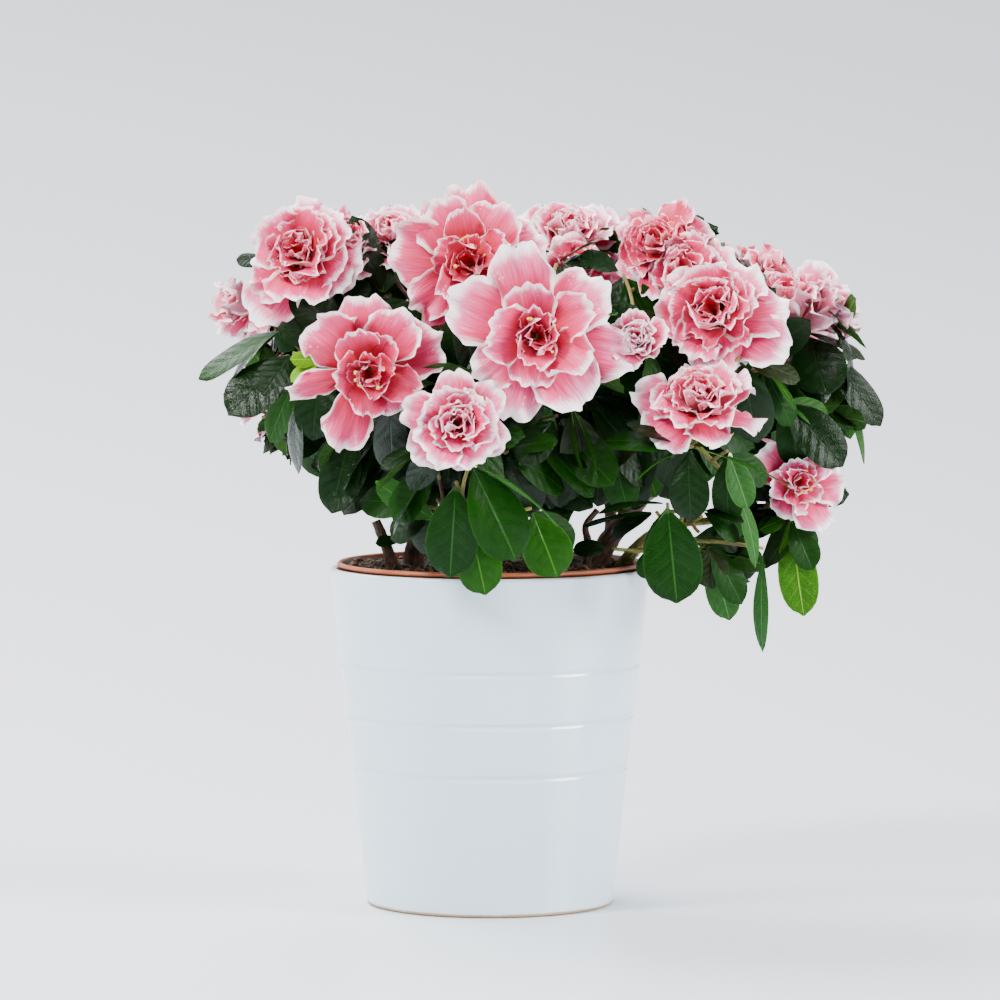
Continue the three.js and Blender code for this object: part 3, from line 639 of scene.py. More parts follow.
def bark_material(name, dark, light, film):
    """Thin flaking bark: colour streaked along the limb, a film of another tint in patches,
    fine cracks in the normal."""
    material, tree = new_material(name)
    place = add(tree, "TexCoord").node.outputs["Object"]
    uv = add(tree, "UVMap", uv_map=UV_MAP)
    stretched = add(tree, "Mapping", uv, named={"Scale": (1.0, 0.22, 1.0)})
    streak = add(tree, "TexNoise", stretched, 95.0, 5.0, 0.65)
    worn = add(tree, "MapRange", streak, 0.36, 0.66, **SMOOTH)
    bark = add(tree, "Mix", worn, linear(dark), linear(light), **COLOUR)
    patch = add(tree, "TexNoise", place, 120.0, 3.0, 0.55)
    patch = add(tree, "MapRange", patch, 0.52, 0.7, **SMOOTH)
    thin = add(tree, "Math", patch, 0.6, operation="MULTIPLY")
    return finish_material(material, {
        "Base Color": add(tree, "Mix", thin, bark, linear(film), **COLOUR),
        "Roughness": add(tree, "Math", streak, 0.25, 0.6, operation="MULTIPLY_ADD"),
        "Normal": add(tree, "Bump", named={"Strength": 0.9, "Distance": 0.0009, "Height": streak})})


def leaf_material(key):
    """Leathery azalea leaf: waxy cuticle over a surface quilted between side veins, so its
    shine breaks up along them; midrib, net of veins and rim lighter than the blade."""
    name, blade, vein, _ = TONES[key]
    vein_share, net_share = (0.4, 0.22) if key in CLEAR_VEINED else (0.2, 0.1)
    material, tree = new_material(name)
    s, t, _, _ = atlas_place(tree)
    off = add(tree, "Math", s, operation="ABSOLUTE")
    along = add(tree, "Math", t, 2.2, operation="MULTIPLY")
    place = add(tree, "CombineXYZ", s, along, 0.37)

    # Side veins: seven pairs, slanting forwards from the midrib.
    forward = add(tree, "Math", t, 7.0, operation="MULTIPLY")
    phase = add(tree, "Math", off, -1.5, forward, operation="MULTIPLY_ADD")
    phase = add(tree, "Math", phase, operation="FRACT")
    phase = add(tree, "Math", phase, 0.5, operation="SUBTRACT")
    ridge = add(tree, "Math", phase, operation="ABSOLUTE")
    crest = add(tree, "MapRange", ridge, 0.455, 0.5, **SMOOTH)
    fade = add(tree, "MapRange", off, 0.95, 0.6, 0.0, vein_share, **SMOOTH)
    side_vein = add(tree, "Math", crest, fade, operation="MULTIPLY")

    cells = add(tree, "TexVoronoi", place, 12.0, feature="DISTANCE_TO_EDGE")
    net = add(tree, "MapRange", cells, 0.08, 0.0, 0.0, net_share, **SMOOTH)
    midrib = add(tree, "MapRange", off, 0.05, 0.01, **SMOOTH)
    rim = add(tree, "MapRange", off, 0.93, 0.985, 0.0, 0.45, **SMOOTH)
    lines = midrib
    for line in (side_vein, net, rim):
        lines = add(tree, "Math", lines, line, operation="MAXIMUM")

    base = linear(blade)
    shade = [c * 0.72 for c in base[:3]] + [1.0]
    mottle = add(tree, "TexNoise", place, 3.0, 3.0, 0.55)
    mottle = add(tree, "MapRange", mottle, 0.3, 0.75, **SMOOTH)
    body = add(tree, "Mix", mottle, base, shade, **COLOUR)

    quilt = add(tree, "Math", ridge, -0.8, operation="MULTIPLY")
    grain = add(tree, "TexNoise", place, 16.0, 3.0, 0.55)
    height = add(tree, "Math", grain, 0.4, quilt, operation="MULTIPLY_ADD")
    height = add(tree, "Math", midrib, -0.7, height, operation="MULTIPLY_ADD")
    raised = add(tree, "MapRange", cells, 0.0, 0.16, **SMOOTH)
    height = add(tree, "Math", raised, 0.14, height, operation="MULTIPLY_ADD")
    return finish_material(material, {
        "Base Color": add(tree, "Mix", lines, body, linear(vein), **COLOUR),
        "Roughness": 0.45 if key in UNDERSIDES else 0.22 if key == "s" else 0.14,
        "Specular IOR Level": 0.4 if key == "s" else 0.12 if key in "dz" else 0.07,
        "Normal": add(tree, "Bump", named={"Strength": 0.4, "Distance": 0.0008, "Height": height})})


def petal_material(name, back):
    """Azalea petal: soft, thin and slightly translucent. White frilled rim, pink brushed
    outwards along branching veins, crimson in the throat; how far each spreads differs by the
    atlas row, which is the whorl, and the column, which is the petal's own streaks."""
    material, tree = new_material(name)
    s, t, column, row = atlas_place(tree)
    own = add(tree, "Math", column, 9.1, operation="MULTIPLY")
    own = add(tree, "Math", row, 3.7, own, operation="MULTIPLY_ADD")

    # Broad and fine streaks along the petal, and how far they push the colours about.
    streaks, pushes = [], []
    for across, along, detail, rough in ((3.2, 1.6, 2.0, 0.55), (17.0, 2.4, 3.0, 0.6)):
        x = add(tree, "Math", s, across, operation="MULTIPLY")
        y = add(tree, "Math", t, along, operation="MULTIPLY")
        streaks.append(add(tree, "TexNoise", add(tree, "CombineXYZ", x, y, own), 1.0, detail, rough))
        pushes.append(add(tree, "Math", streaks[-1], 0.34, -0.17, operation="MULTIPLY_ADD"))
    broad, fine = streaks
    wander = add(tree, "Math", *pushes, operation="ADD")

    # The margin: how far in from the rim a point lies, against the width of the white.
    ahead = add(tree, "Math", t, -1.5, 1.5, operation="MULTIPLY_ADD")
    off = add(tree, "Math", s, operation="ABSOLUTE")
    off = add(tree, "Math", off, 1.4, operation="POWER")
    inside = add(tree, "Math", 1.0, off, operation="SUBTRACT")
    rim_distance = add(tree, "Math", ahead, inside, operation="MINIMUM")
    rim_distance = add(tree, "Math", rim_distance, wander, operation="ADD")
    rim_width = add(tree, "Math", row, -0.07, 0.28, operation="MULTIPLY_ADD")
    margin = add(tree, "MapRange", rim_distance, 0.02, rim_width, **SMOOTH)

    # The flesh: from the throat outwards, and inner whorls deeper.
    outward = add(tree, "Math", t, 0.95, 0.08, operation="MULTIPLY_ADD")
    outward = add(tree, "Math", row, -0.15, outward, operation="MULTIPLY_ADD")
    depth = add(tree, "Math", wander, 1.5, outward, operation="MULTIPLY_ADD")
    flesh = add(tree, "ValToRGB", depth)
    stops = flesh.node.color_ramp.elements
    stops[0].position, stops[0].color = 0.05, linear("#c20a20")
    stops[1].position, stops[1].color = 0.95, linear("#e67ca2")
    for position, code in ((0.25, "#bc0a2e"), (0.48, "#c60e4a"), (0.7, "#d62a68")):
        stops.new(position).color = linear(code)

    # Veins: lines that fan out with the petal's width.
    width = add(tree, "Math", t, 0.55, 0.45, operation="MULTIPLY_ADD")
    share = add(tree, "Math", s, 3.0, operation="MULTIPLY")
    share = add(tree, "Math", share, width, operation="DIVIDE")
    phase = add(tree, "Math", wander, 0.8, share, operation="MULTIPLY_ADD")
    phase = add(tree, "Math", phase, operation="FRACT")
    phase = add(tree, "Math", phase, 0.5, operation="SUBTRACT")
    branch = add(tree, "Math", phase, operation="ABSOLUTE")
    vein = add(tree, "MapRange", branch, 0.12, 0.0, **SMOOTH)
    fade = add(tree, "MapRange", t, 0.95, 0.45, 0.0, 0.55, **SMOOTH)
    vein = add(tree, "Math", vein, fade, operation="MULTIPLY")
    flesh = add(tree, "Mix", vein, flesh, linear("#b0043a"), **COLOUR)

    inner = add(tree, "Math", row, 0.33, operation="MULTIPLY", use_clamp=True)
    pale = add(tree, "Mix", inner, linear("#fdf4f5"), linear("#f2b4c4"), **COLOUR)
    colour = add(tree, "Mix", margin, pale, flesh, **COLOUR)
    if back:
        colour = add(tree, "Mix", 0.35, colour, linear("#f9c8d6"), **COLOUR)
    height = add(tree, "Math", broad, 0.6, fine, operation="MULTIPLY_ADD")
    return finish_material(material, {
        "Base Color": colour, "Roughness": 0.5,
        "Normal": add(tree, "Bump", named={"Strength": 0.5, "Distance": 0.0009, "Height": height}),
        "Subsurface Weight": 0.12, "Subsurface Scale": 0.0016,
        "Sheen Weight": 0.15, "Sheen Roughness": 0.4})


def plain_tissue(name, code, other):
    """Small soft flower tissue: one tint drifting into another."""
    material, tree = new_material(name)
    place = add(tree, "TexCoord").node.outputs["Object"]
    cloud = add(tree, "TexNoise", place, 300.0, 2.0, 0.55)
    return finish_material(material, {
        "Base Color": add(tree, "Mix", cloud, linear(code), linear(other), **COLOUR),
        "Roughness": 0.5})


# ---------------------------------------------------------------- pot, liner and soil


def pot_profile():
    """The pot's wall: a straight cone with an arc for its rim. Each groove is a dip of
    0.5 exp(-d^2) mm at a height d from its middle, with a bead of 0.1 mm just below it."""
    near_grooves = [np.linspace(groove - 4, groove + 4, 28) for groove in GROOVE_HEIGHTS]
    height = np.unique(np.concatenate([np.linspace(0.9, POT_HEIGHT - POT_ROUNDING, 90), *near_grooves]))
    flare = POT_RIM_RADIUS - POT_FOOT_RADIUS
    radius = POT_FOOT_RADIUS + flare * height / POT_HEIGHT
    for groove in GROOVE_HEIGHTS:
        radius -= 0.5 * np.exp(-((height - groove) ** 2))
        radius += 0.1 * np.exp(-(((height - groove + 2.3) / 1.3) ** 2))
    turn = np.linspace(0, math.pi, 15)[1:]
    rim_middle = [radius[-1] - POT_ROUNDING, POT_HEIGHT - POT_ROUNDING]
    rim = rim_middle + POT_ROUNDING * np.stack([np.cos(turn), np.sin(turn)], -1)
    down = np.linspace(POT_HEIGHT - POT_ROUNDING - 1, POT_FLOOR + 3, 24)
    inner_radius = POT_FOOT_RADIUS - POT_WALL + (flare + 0.35) * down / POT_HEIGHT
    foot = [[0, 0], [POT_FOOT_RADIUS - 2, 0], [POT_FOOT_RADIUS - 1.1, 0.12], [POT_FOOT_RADIUS - 0.35, 0.45]]
    floor = [[inner_radius[-1] - 2.5, POT_FLOOR], [0, POT_FLOOR]]
    return np.vstack([foot, np.stack([radius, height], -1), rim, np.stack([inner_radius, down], -1), floor])


def liner_profile():
    """The grow-pot: a thin straight wall that widens into a rolled lip."""
    bead = np.linspace(-0.5 * math.pi, 0.95 * math.pi, 12)
    roll_middle = np.array([LINER_LIP_RADIUS, LINER_TOP]) - LINER_ROLL
    roll = roll_middle + LINER_ROLL * np.stack([np.cos(bead), np.sin(bead)], -1)
    outside = [[0, 6.3], [44, 6.3], [45, 7], [63.4, LINER_TOP - 4.4], [64.2, LINER_TOP - 3.4]]
    inside = [[LINER_LIP_RADIUS - 2.2, LINER_TOP - 1.6], [62.2, LINER_TOP - 4.5], [43.8, 7.8], [0, 7.8]]
    return np.vstack([outside, roll, inside])


def build_pot():
    """The cover pot, and the grow-pot whose lip shows above its rim."""
    pot = write_object("cover_pot", *revolve(pot_profile(), 192), materials=[glaze_material()])
    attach(pot, "root")
    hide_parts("pot")

    liner = write_object("grow_pot", *revolve(liner_profile(), 144), materials=[liner_material()])
    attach(liner, "root")
    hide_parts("liner")


def soil_height(x, y):
    """Low swells with crumbs on them: a sum of sines of several lengths, plus a slight rise
    against the liner."""
    swell = np.sin(x * 0.11 + 0.6) * np.cos(y * 0.09 - 0.4)
    lump = np.sin(x * 0.33 - 1.1) * np.sin(y * 0.29 + 0.8)
    lump = lump + 0.6 * np.sin(x * 0.71 + y * 0.5) * np.sin(y * 0.83 - x * 0.3)
    crumb = np.sin(x * 1.9 + 2 * np.sin(y * 1.3)) * np.sin(y * 2.2 + np.sin(x * 1.7))
    edge = np.hypot(x, y) / SOIL_RADIUS
    return SOIL_TOP + 0.2 + 1.0 * swell + 0.8 * lump + 0.45 * crumb + 1.2 * edge**6


def litter_piece(chip):
    """A chip or a fibre, bent in its own plane, that lies on the soil and arches off it."""
    angle = RANDOM.uniform(0, 2 * math.pi)
    out = (SOIL_RADIUS - 2) * math.sqrt(RANDOM.uniform(0, 1))
    spot = out * np.array([math.cos(angle), math.sin(angle), 0.0])
    heading = RANDOM.uniform(0, 2 * math.pi)
    length = RANDOM.uniform(2.0, 5.5) if chip else RANDOM.uniform(5, 15)
    span = np.array([math.cos(heading), math.sin(heading), 0.0]) * length
    bend = np.array([-span[1], span[0], 0.0]) * RANDOM.uniform(-0.35, 0.35)
    t = np.linspace(0, 1, 4 if chip else 7)[:, None]
    line = spot + span * (t - 0.5) + bend * (t * (1 - t) * 2)
    out = np.maximum(np.hypot(line[:, :1], line[:, 1:2]), 1)
    line = line * np.minimum(1.0, (SOIL_RADIUS - 1.2) / out)
    lift = RANDOM.uniform(0.1, 1.4 if chip else 0.9)
    line[:, 2] = soil_height(line[:, 0], line[:, 1]) + lift * (0.4 + np.sin(t[:, 0] * math.pi))
    girth = RANDOM.uniform(0.5, 1.1) if chip else RANDOM.uniform(0.12, 0.26)
    return tube(line, girth * (0.35 + 0.65 * spindle(len(t))), 5 if chip else 4)


def build_soil():
    """The root ball, its top a polar grid under soil_height, strewn with fibres and chips."""
    rings, around = 70, 220
    radius = SOIL_RADIUS * np.linspace(0, 1, rings + 1)[:0:-1, None] ** 0.8
    turn = np.linspace(0, 2 * math.pi, around, endpoint=False)
    x, y = radius * np.cos(turn), radius * np.sin(turn)
    top = np.stack([x, y, soil_height(x, y)], -1)
    circle = np.stack([np.cos(turn), np.sin(turn), np.ones(around)], -1)
    foot = circle * [SOIL_FOOT_RADIUS, SOIL_FOOT_RADIUS, SOIL_FOOT]
    verts = np.vstack([foot[None], top]).reshape(-1, 3)
    count = len(verts)
    verts = np.vstack([verts, [0, 0, SOIL_FOOT], [0, 0, soil_height(0.0, 0.0)]])
    faces = [grid_quads(rings + 1, around, closed=True), fan(count, 0, around, False),
             fan(count + 1, rings * around, around, True)]
    soil = write_object("peat_root_ball", verts, faces, materials=[peat_material()])
    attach(soil, "root")
    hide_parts("root_ball")

    # Two pieces in five are chips. The slots of chips and of fibres go round in threes.
    chips = [number % 5 < 2 for number in range(LITTER_COUNT)]
    kinds = [((1, 0, 0) if chip else (0, 2, 2))[number % 3] for number, chip in enumerate(chips)]
    litter = joined("soil_litter", [litter_piece(chip) for chip in chips], [
        fibre_material("bark_chip", "#24150c", "#43301f"),
        fibre_material("dry_chip", "#4c3522", "#7a5f40"),
        fibre_material("root_fibre", "#5e4930", "#8d7654")], kinds)
    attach(litter, "root")


# ---------------------------------------------------------------- stems, boughs, twigs


def limb_lines():
    """The centre line and radii of every stem and bough. A bough stops inside its mass."""
    lines = {}
    for name, (way, foot, tip, flare) in STEMS.items():
        points = curve_points(np.array(way, float) + [0, 0, SOIL_TOP - STEM_SINK], 44)
        share = np.linspace(0, 1, len(points))
        run = share * distance_along(points)[-1]
        lines[name] = (points, foot + (tip - foot) * share + flare * np.exp(-run / 5.0))
    for name, (stem, share, mass, foot, tip) in BOUGHS.items():
        source = lines[stem][0]
        start = source[int(round(share * (len(source) - 1)))]
        centre, half = MASSES[mass]
        line = bezier(start, start + 0.45 * (centre - start) - [0, 0, BOUGH_SAG], centre, 60)
        outside = np.sum(((line - centre) / (half * 0.82)) ** 2, -1) > 1
        line = line[: max(12, int(outside.sum()))]
        lines[name] = (line, np.linspace(foot, tip, len(line)))
    return lines


def bark_relief(seed, depth):
    """Ridges that run along the limb and wander round it, with a ring of scar now and then."""
    shift = RANDOM.uniform(0, 6.28, 6)

    def height(around, along, radius):
        wander = around + 0.25 * np.sin(along * 0.21 + shift[0]) + 0.1 * np.sin(along * 0.9 + shift[1])
        ridges = np.sin(7 * wander + shift[2]) + 0.7 * np.sin(13 * wander + along * 0.35 + shift[3])
        flakes = np.sin(along * 2.3 + 3 * np.sin(around + shift[4]))
        flakes = flakes * np.sin(5 * around + along * 0.6 + shift[5])
        scar = np.exp(-(((along + seed) % 13.0 - 6.5) / 0.9) ** 2)
        return depth * radius * (0.5 * ridges + 0.45 * flakes) + 0.09 * radius * scar

    return height


def build_limbs(lines, barks):
    """The stems, stubs and boughs as one piece."""
    parts = [tube(points, radii, 22 if name in STEMS else 16, bark_relief(3.1 * number, 0.05))
             for number, (name, (points, radii)) in enumerate(lines.items())]
    limbs = joined("stems_and_boughs", parts, barks, [int(name in GREEN_LIMBS) for name in lines])
    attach(limbs, "root")
    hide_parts(*lines)


def grow_twigs(lines, tips):
    """Twigs grown by one rule: taken from the nearest tip outwards, each shoot tip is joined
    to the point of the plant so far that is nearest, counting a share of that point's own
    distance from the stems, and its twig's points then become part of the plant."""
    spots = np.vstack([points[6:] for name, (points, _) in lines.items() if name not in DEAD_WOOD])
    cost = np.zeros(len(spots))
    girth = np.full(len(spots), 1.7)
    order = np.argsort([np.linalg.norm(tip - CROWN_HEART) for tip, _ in tips])
    twigs = []
    for tip, axis in (tips[k] for k in order):
        reach = np.linalg.norm(spots - tip, axis=1)
        best = int(np.argmin(reach + 0.25 * cost + np.where(girth < 0.8, 6.0, 0.0)))
        start, length = spots[best], reach[best]
        middle = start + 0.5 * (tip - start) - axis * length * 0.12 + [0, 0, -0.08 * length]
        line = bezier(start, middle, tip, 9)
        radii = np.linspace(max(0.85, girth[best] * 0.82), 0.75, 9)
        twigs.append((line, radii))
        spots = np.vstack([spots, line[2:]])
        cost = np.concatenate([cost, cost[best] + length * np.linspace(0, 1, 9)[2:]])
        girth = np.concatenate([girth, radii[2:]])
    return twigs


def build_twigs(twigs, barks):
    """The twigs as one piece, the low ones and a third of the others green."""
    parts = [tube(line, radii, 7, bark_relief(k, 0.06)) for k, (line, radii) in enumerate(twigs)]
    kinds = [int(line[-1][2] < 200 or k % 3 == 0) for k, (line, _) in enumerate(twigs)]
    piece = joined("twigs", parts, barks, kinds)
    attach(piece, "root")


# ---------------------------------------------------------------- leaves
# A leaf is its base, direction, normal, length, width, bend, fold and tone.


def leaf_surfaces(base, direction, normal, length, width, bend, fold, grid):
    """Leaf blades as grids. Half width is the curve t^0.66 (1 - t)^0.5, a wedge at the stalk
    and fullest past the middle. The blade bends along an arc of bend radians, is folded along
    its midrib, turns its edges down and waves a little."""
    rows, columns = grid
    t = 1 - (1 - np.linspace(0, 1, rows + 1)[:, None]) ** 1.3
    s = np.linspace(-1, 1, columns + 1)
    inner = np.clip((t - 0.06) / 0.94, 0, 0.994)
    half = inner**0.66 * (1 - inner) ** 0.5
    half = np.maximum(half / half.max(), 0.05)
    length, width, bend, fold = (value[:, None, None] for value in (length, width, bend, fold))
    along = length * (np.sin(bend * t) / bend - 0.03 * s**2 * t**8)
    drop = length * (1 - np.cos(bend * t)) / bend
    across = 0.5 * width * half * s
    wave = RANDOM.uniform(0, 6.28, (len(base), 1, 1))
    height = fold * np.abs(across) - 0.06 * width * s**4 * half - drop
    height = height + 0.035 * width * np.abs(s) * np.sin(8 * t + wave + 1.4 * np.sign(s))
    side = np.cross(direction, normal)
    return base[:, None, None] + sum(
        axis[:, None, None] * amount[..., None]
        for axis, amount in ((direction, along), (side, across), (normal, height)))


def show_leaf(hub, bearing, length, width, lean, roll, tone):
    """The first five values of a leaf given as it looks from the front: bearing across the
    view, lean out of it. The blue-dark ones lie back and catch the sky."""
    a, b = math.radians(bearing), math.radians(lean)
    direction = np.array([math.cos(a) * math.cos(b), -math.sin(b), math.sin(a) * math.cos(b)])
    normal = square_to(direction, np.array([-0.35, -0.5, 0.8] if tone == "s" else [-0.12, -0.88, 0.45]))
    normal = turned(normal, direction, math.radians(roll) * (1 if math.cos(a) < 0 else -1))
    return np.array(hub, float) + direction * LEAF_STALK, direction, normal, length, width


def whorl(hub, axis, count, rng, long=36.0, tones="dddms", spread=(58, 96)):
    """Leaves round a shoot tip at the golden angle, the outer ones lowest. They sag, and more
    so in the lower part of the crown."""
    axis = unit(np.array(axis, float))
    around = round_axis(axis, (0.3, 0.2, 0.93), 0.9)
    sag = 0.12 + 0.5 * float(smooth(235 - hub[2], 0, 40))
    leaves = []
    for k in range(count):
        out = around(GOLDEN_ANGLE * k + rng.uniform(-0.25, 0.25))
        opening = math.radians(rng.uniform(*spread) - 14 * (k % 2))
        direction = unit(axis * math.cos(opening) + out * math.sin(opening) - np.array([0, 0, sag]))
        normal = square_to(direction, axis + np.array([0, 0, 0.25]))
        normal = turned(normal, direction, rng.uniform(-0.3, 0.3))
        length = long * rng.uniform(0.72, 1.08)
        width = length * rng.uniform(0.4, 0.54)
        tone = tones[rng.integers(len(tones))]
        base = np.array(hub) - axis * (k * 0.9) + direction * LEAF_STALK
        bend, fold = rng.uniform(0.15, 0.75), rng.uniform(0.08, 0.3)
        leaves.append((base, direction, normal, length, width, bend, fold, tone))
    return leaves


def leaf_tip(leaf):
    """Where a leaf would end if it did not bend."""
    return leaf[0] + leaf[1] * leaf[3]


def clear_of_flowers(leaf, flowers):
    """False when the middle or tip of a leaf would push into the face of a flower."""
    for spot in ((leaf[0] + leaf_tip(leaf)) / 2, leaf_tip(leaf)):
        for heart, facing, width, *_ in flowers:
            away = spot - heart
            if np.linalg.norm(away) < 0.5 * width and away @ facing > -0.1 * width:
                return False
    return True


def clear_of_show(leaf, name, centre):
    """False for a leaf that would hang in front of the show leaves of a front leaf mass."""
    nearest = min(leaf_tip(leaf)[1], leaf[0][1])
    return centre[1] > FRONT or "leaf" not in name or nearest > centre[1] + 10


def kept_inside(leaf, centre):
    """The leaf if its tip is in the crown, or a copy drawn in and shortened, or nothing."""
    base, direction, normal, length, width, *rest = leaf
    for draw, share in ((0.0, 1.0), (0.25, 0.9), (0.5, 0.8), (0.75, 0.7)):
        start = base + draw * (centre - base)
        if in_crown(start + direction * length * share, 1.04):
            return (start, direction, normal, length * share, width * share, *rest)
    return None


def build_leaves(name, leaves, materials, grid):
    """Leaves made one piece, each with its tone's material above and below."""
    *numbers, tones = zip(*leaves)
    upper = leaf_surfaces(*(np.array(column, float) for column in numbers), grid)
    key = np.array([TONE_KEYS.index(tone) for tone in tones])
    below = np.array([TONE_KEYS.index(TONES[tone][3]) for tone in tones])
    piece = thin_shells(name, upper, LEAF_THICKNESS, key, below, materials, key, below)
    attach(piece, "root")
    return piece


# ---------------------------------------------------------------- flowers
# A flower is its heart, facing, width, habit, tint and lobes.


def petal_surfaces(foot, radial, facing, length, width, low, high, cup, ruffle, twist, notch, seed, grid):
    """Petals as grids. The middle line leaves the foot at elevation low and ends at high,
    both measured from the flower's plane. Half width grows as a quarter sine to 0.72 of the
    length, and the end is drawn back as an ellipse, 1 - sqrt(1 - s^2). The blade is cupped
    as s^2, and ruffled by sines of the bearing round its middle, growing as the distance
    from the middle cubed."""
    rows, columns = grid
    t = np.linspace(0, 1, rows + 1)
    turn = twist[:, None] * t
    angle = low[:, None] + (high - low)[:, None] * t**0.8
    middle_angle = 0.5 * (angle[:, 1:] + angle[:, :-1])
    stride = length[:, None] / rows
    start = np.zeros((len(foot), 1))
    out = np.concatenate([start, np.cumsum(np.cos(middle_angle) * stride, 1)], 1)
    up = np.concatenate([start, np.cumsum(np.sin(middle_angle) * stride, 1)], 1)
    half = 0.5 * width[:, None] * (0.18 + 0.82 * np.sin(0.5 * math.pi * np.minimum(1, t / 0.72)) ** 1.1)

    # The blade's own directions at each row.
    foot, radial, facing = (value[:, None] for value in (foot, radial, facing))
    rise, level, turn = angle[..., None], np.cross(radial, facing), turn[..., None]
    middle = foot + radial * out[..., None] + facing * up[..., None]
    tangent = radial * np.cos(rise) + facing * np.sin(rise)
    normal = facing * np.cos(rise) - radial * np.sin(rise)
    flank = level * np.cos(turn) + normal * np.sin(turn)
    face = normal * np.cos(turn) - level * np.sin(turn)

    # Heights and slides over the grid, s across and t along.
    s, t, half = np.linspace(-1, 1, columns + 1), t[:, None], half[..., None]
    a, b, c, d = (seed[:, k, None, None] for k in range(4))
    length, cup, ruffle, notch = (value[:, None, None] for value in (length, cup, ruffle, notch))
    bearing = np.arctan2(s, t - 0.35)
    far = np.minimum(np.hypot(s, np.maximum(t - 0.4, 0) / 0.6), 1.2) ** 3
    waves = np.sin((4.5 + 0.8 * np.sin(b)) * bearing + a)
    waves = waves + 0.6 * np.sin((9 + np.sin(c)) * bearing + b) + 0.4 * np.sin(15 * bearing + d)
    height = cup * half * s**2 * smooth(t, 0.0, 0.5)
    height = height + ruffle * length * far * waves * smooth(t, 0.1, 0.5)
    height = height - 0.06 * half * np.exp(-((s / 0.2) ** 2)) * (1 - 0.6 * t)
    height = height + 0.05 * half * np.sin(3.1 * s + 2.2 * t + c) * t
    rim = -0.34 * (1 - np.sqrt(1 - 0.97 * s**2))
    rim = rim + notch * np.exp(-(((s - 0.15 * np.sin(d)) / 0.3) ** 2))
    rim = rim + 0.022 * np.sin(7 * s + a) + 0.018 * np.sin(13 * s + d)
    edge = 1 + 0.045 * np.sin(15 * t + c + 2 * s) * np.abs(s) ** 3 * smooth(t, 0.3, 0.6)
    return middle[:, :, None] + sum(
        axis[:, :, None] * amount[..., None]
        for axis, amount in ((tangent, length * rim * t**3), (flank, half * s * edge), (face, height)))


def flower_petals(flower, rng):
    """All the petals of one flower, ring by ring from the outside in, as the arguments of
    petal_surfaces with each petal's atlas cell. Petals of a ring lie high and low in turn."""
    heart, facing, width, habit, tint, lobes = flower
    around = round_axis(facing, (0.05, 0.1, 1.0), 0.95)
    rows = []
    for number, (count, long, wide, low, high, cup, ruffle, deep) in enumerate(HABITS[habit]):
        offset = rng.uniform(0, 360)
        ring = [(offset + 360 * (k + rng.uniform(-0.18, 0.18)) / count,
                 0.5 * width * long * FORESHORTENING * rng.uniform(0.78, 1.12),
                 0.5 * width * wide * rng.uniform(0.8, 1.2)) for k in range(count)]
        given = bool(lobes) and number == 0
        if given:
            ring = sorted(lobes)
        for k, (bearing, reach, breadth) in enumerate(ring):
            radial = around(math.radians(bearing - 90))
            steep = math.radians(low + rng.uniform(-8, 6))
            lift = 1 if k % 2 else -1
            flat = math.radians(high + 6 * lift + rng.uniform(-5, 5) * (1 if number < 2 else 2))
            spread = np.cos(steep + (flat - steep) * np.linspace(0, 1, 20) ** 0.8).mean()
            length = reach / (spread if given else FORESHORTENING)
            back = FLOWER_DEPTH * width - 2.1 * number - 0.8 * lift
            foot = heart - facing * back + radial * (1.6 - 0.25 * number)
            rows.append((foot, radial, facing, length, breadth * 1.04, steep, flat,
                         cup + rng.uniform(-0.1, 0.12), ruffle * rng.uniform(0.7, 1.2),
                         0.26 + rng.uniform(-0.12, 0.12), rng.uniform(-0.05, 0.05), rng.uniform(0, 6.28, 4),
                         min(max(deep + tint, 0), 3) * ATLAS + int(rng.integers(ATLAS))))
    return rows


def flower_extras(flower, base, rng):
    """The stalk, sepals, style and stamens of one flower as tubes, with their slots: 0 green,
    1 pink filament, 2 yellow tip."""
    heart, facing, width, habit = flower[:4]
    around = round_axis(facing, (0.05, 0.1, 1.0), 0.95)
    cup = heart - facing * FLOWER_DEPTH * width
    t = np.linspace(0, 1, 7)[:, None]
    stalk = (1 - t) * base + t * cup + (t * (1 - t)) * rng.uniform(-3, 3, 3)
    parts, slots = [tube(stalk, np.linspace(0.8, 1.3, 7), 7)], [0]
    for k in range(5):
        radial = around(2 * math.pi * k / 5 + 0.3)
        line = cup - facing * 1.5 + radial * (0.6 + 3.2 * t**0.8) + facing * 6.0 * t**1.4
        parts.append(tube(line, 1.3 * (1 - t[:, 0]) ** 0.7 + 0.12, 6))
        slots.append(0)
    # Thread and tip in turn: the first is the style, the others stamens.
    for k in range(0 if habit == "bud" else 5):
        radial = around(rng.uniform(0, 6.28))
        reach = 0.34 * width * rng.uniform(0.7, 1.0)
        line = cup + facing * (reach * 1.15 * t) + radial * (reach * 0.42 * t**1.6)
        knob = line[-1] + (t - 0.5) * facing * (1.5 if k else 2.2)
        parts.append(tube(line, np.full(7, 0.32 if k else 0.5), 6))
        parts.append(tube(knob, (0.62 if k else 1.0) * spindle(7), 7))
        slots += [1, 2]
    return parts, slots


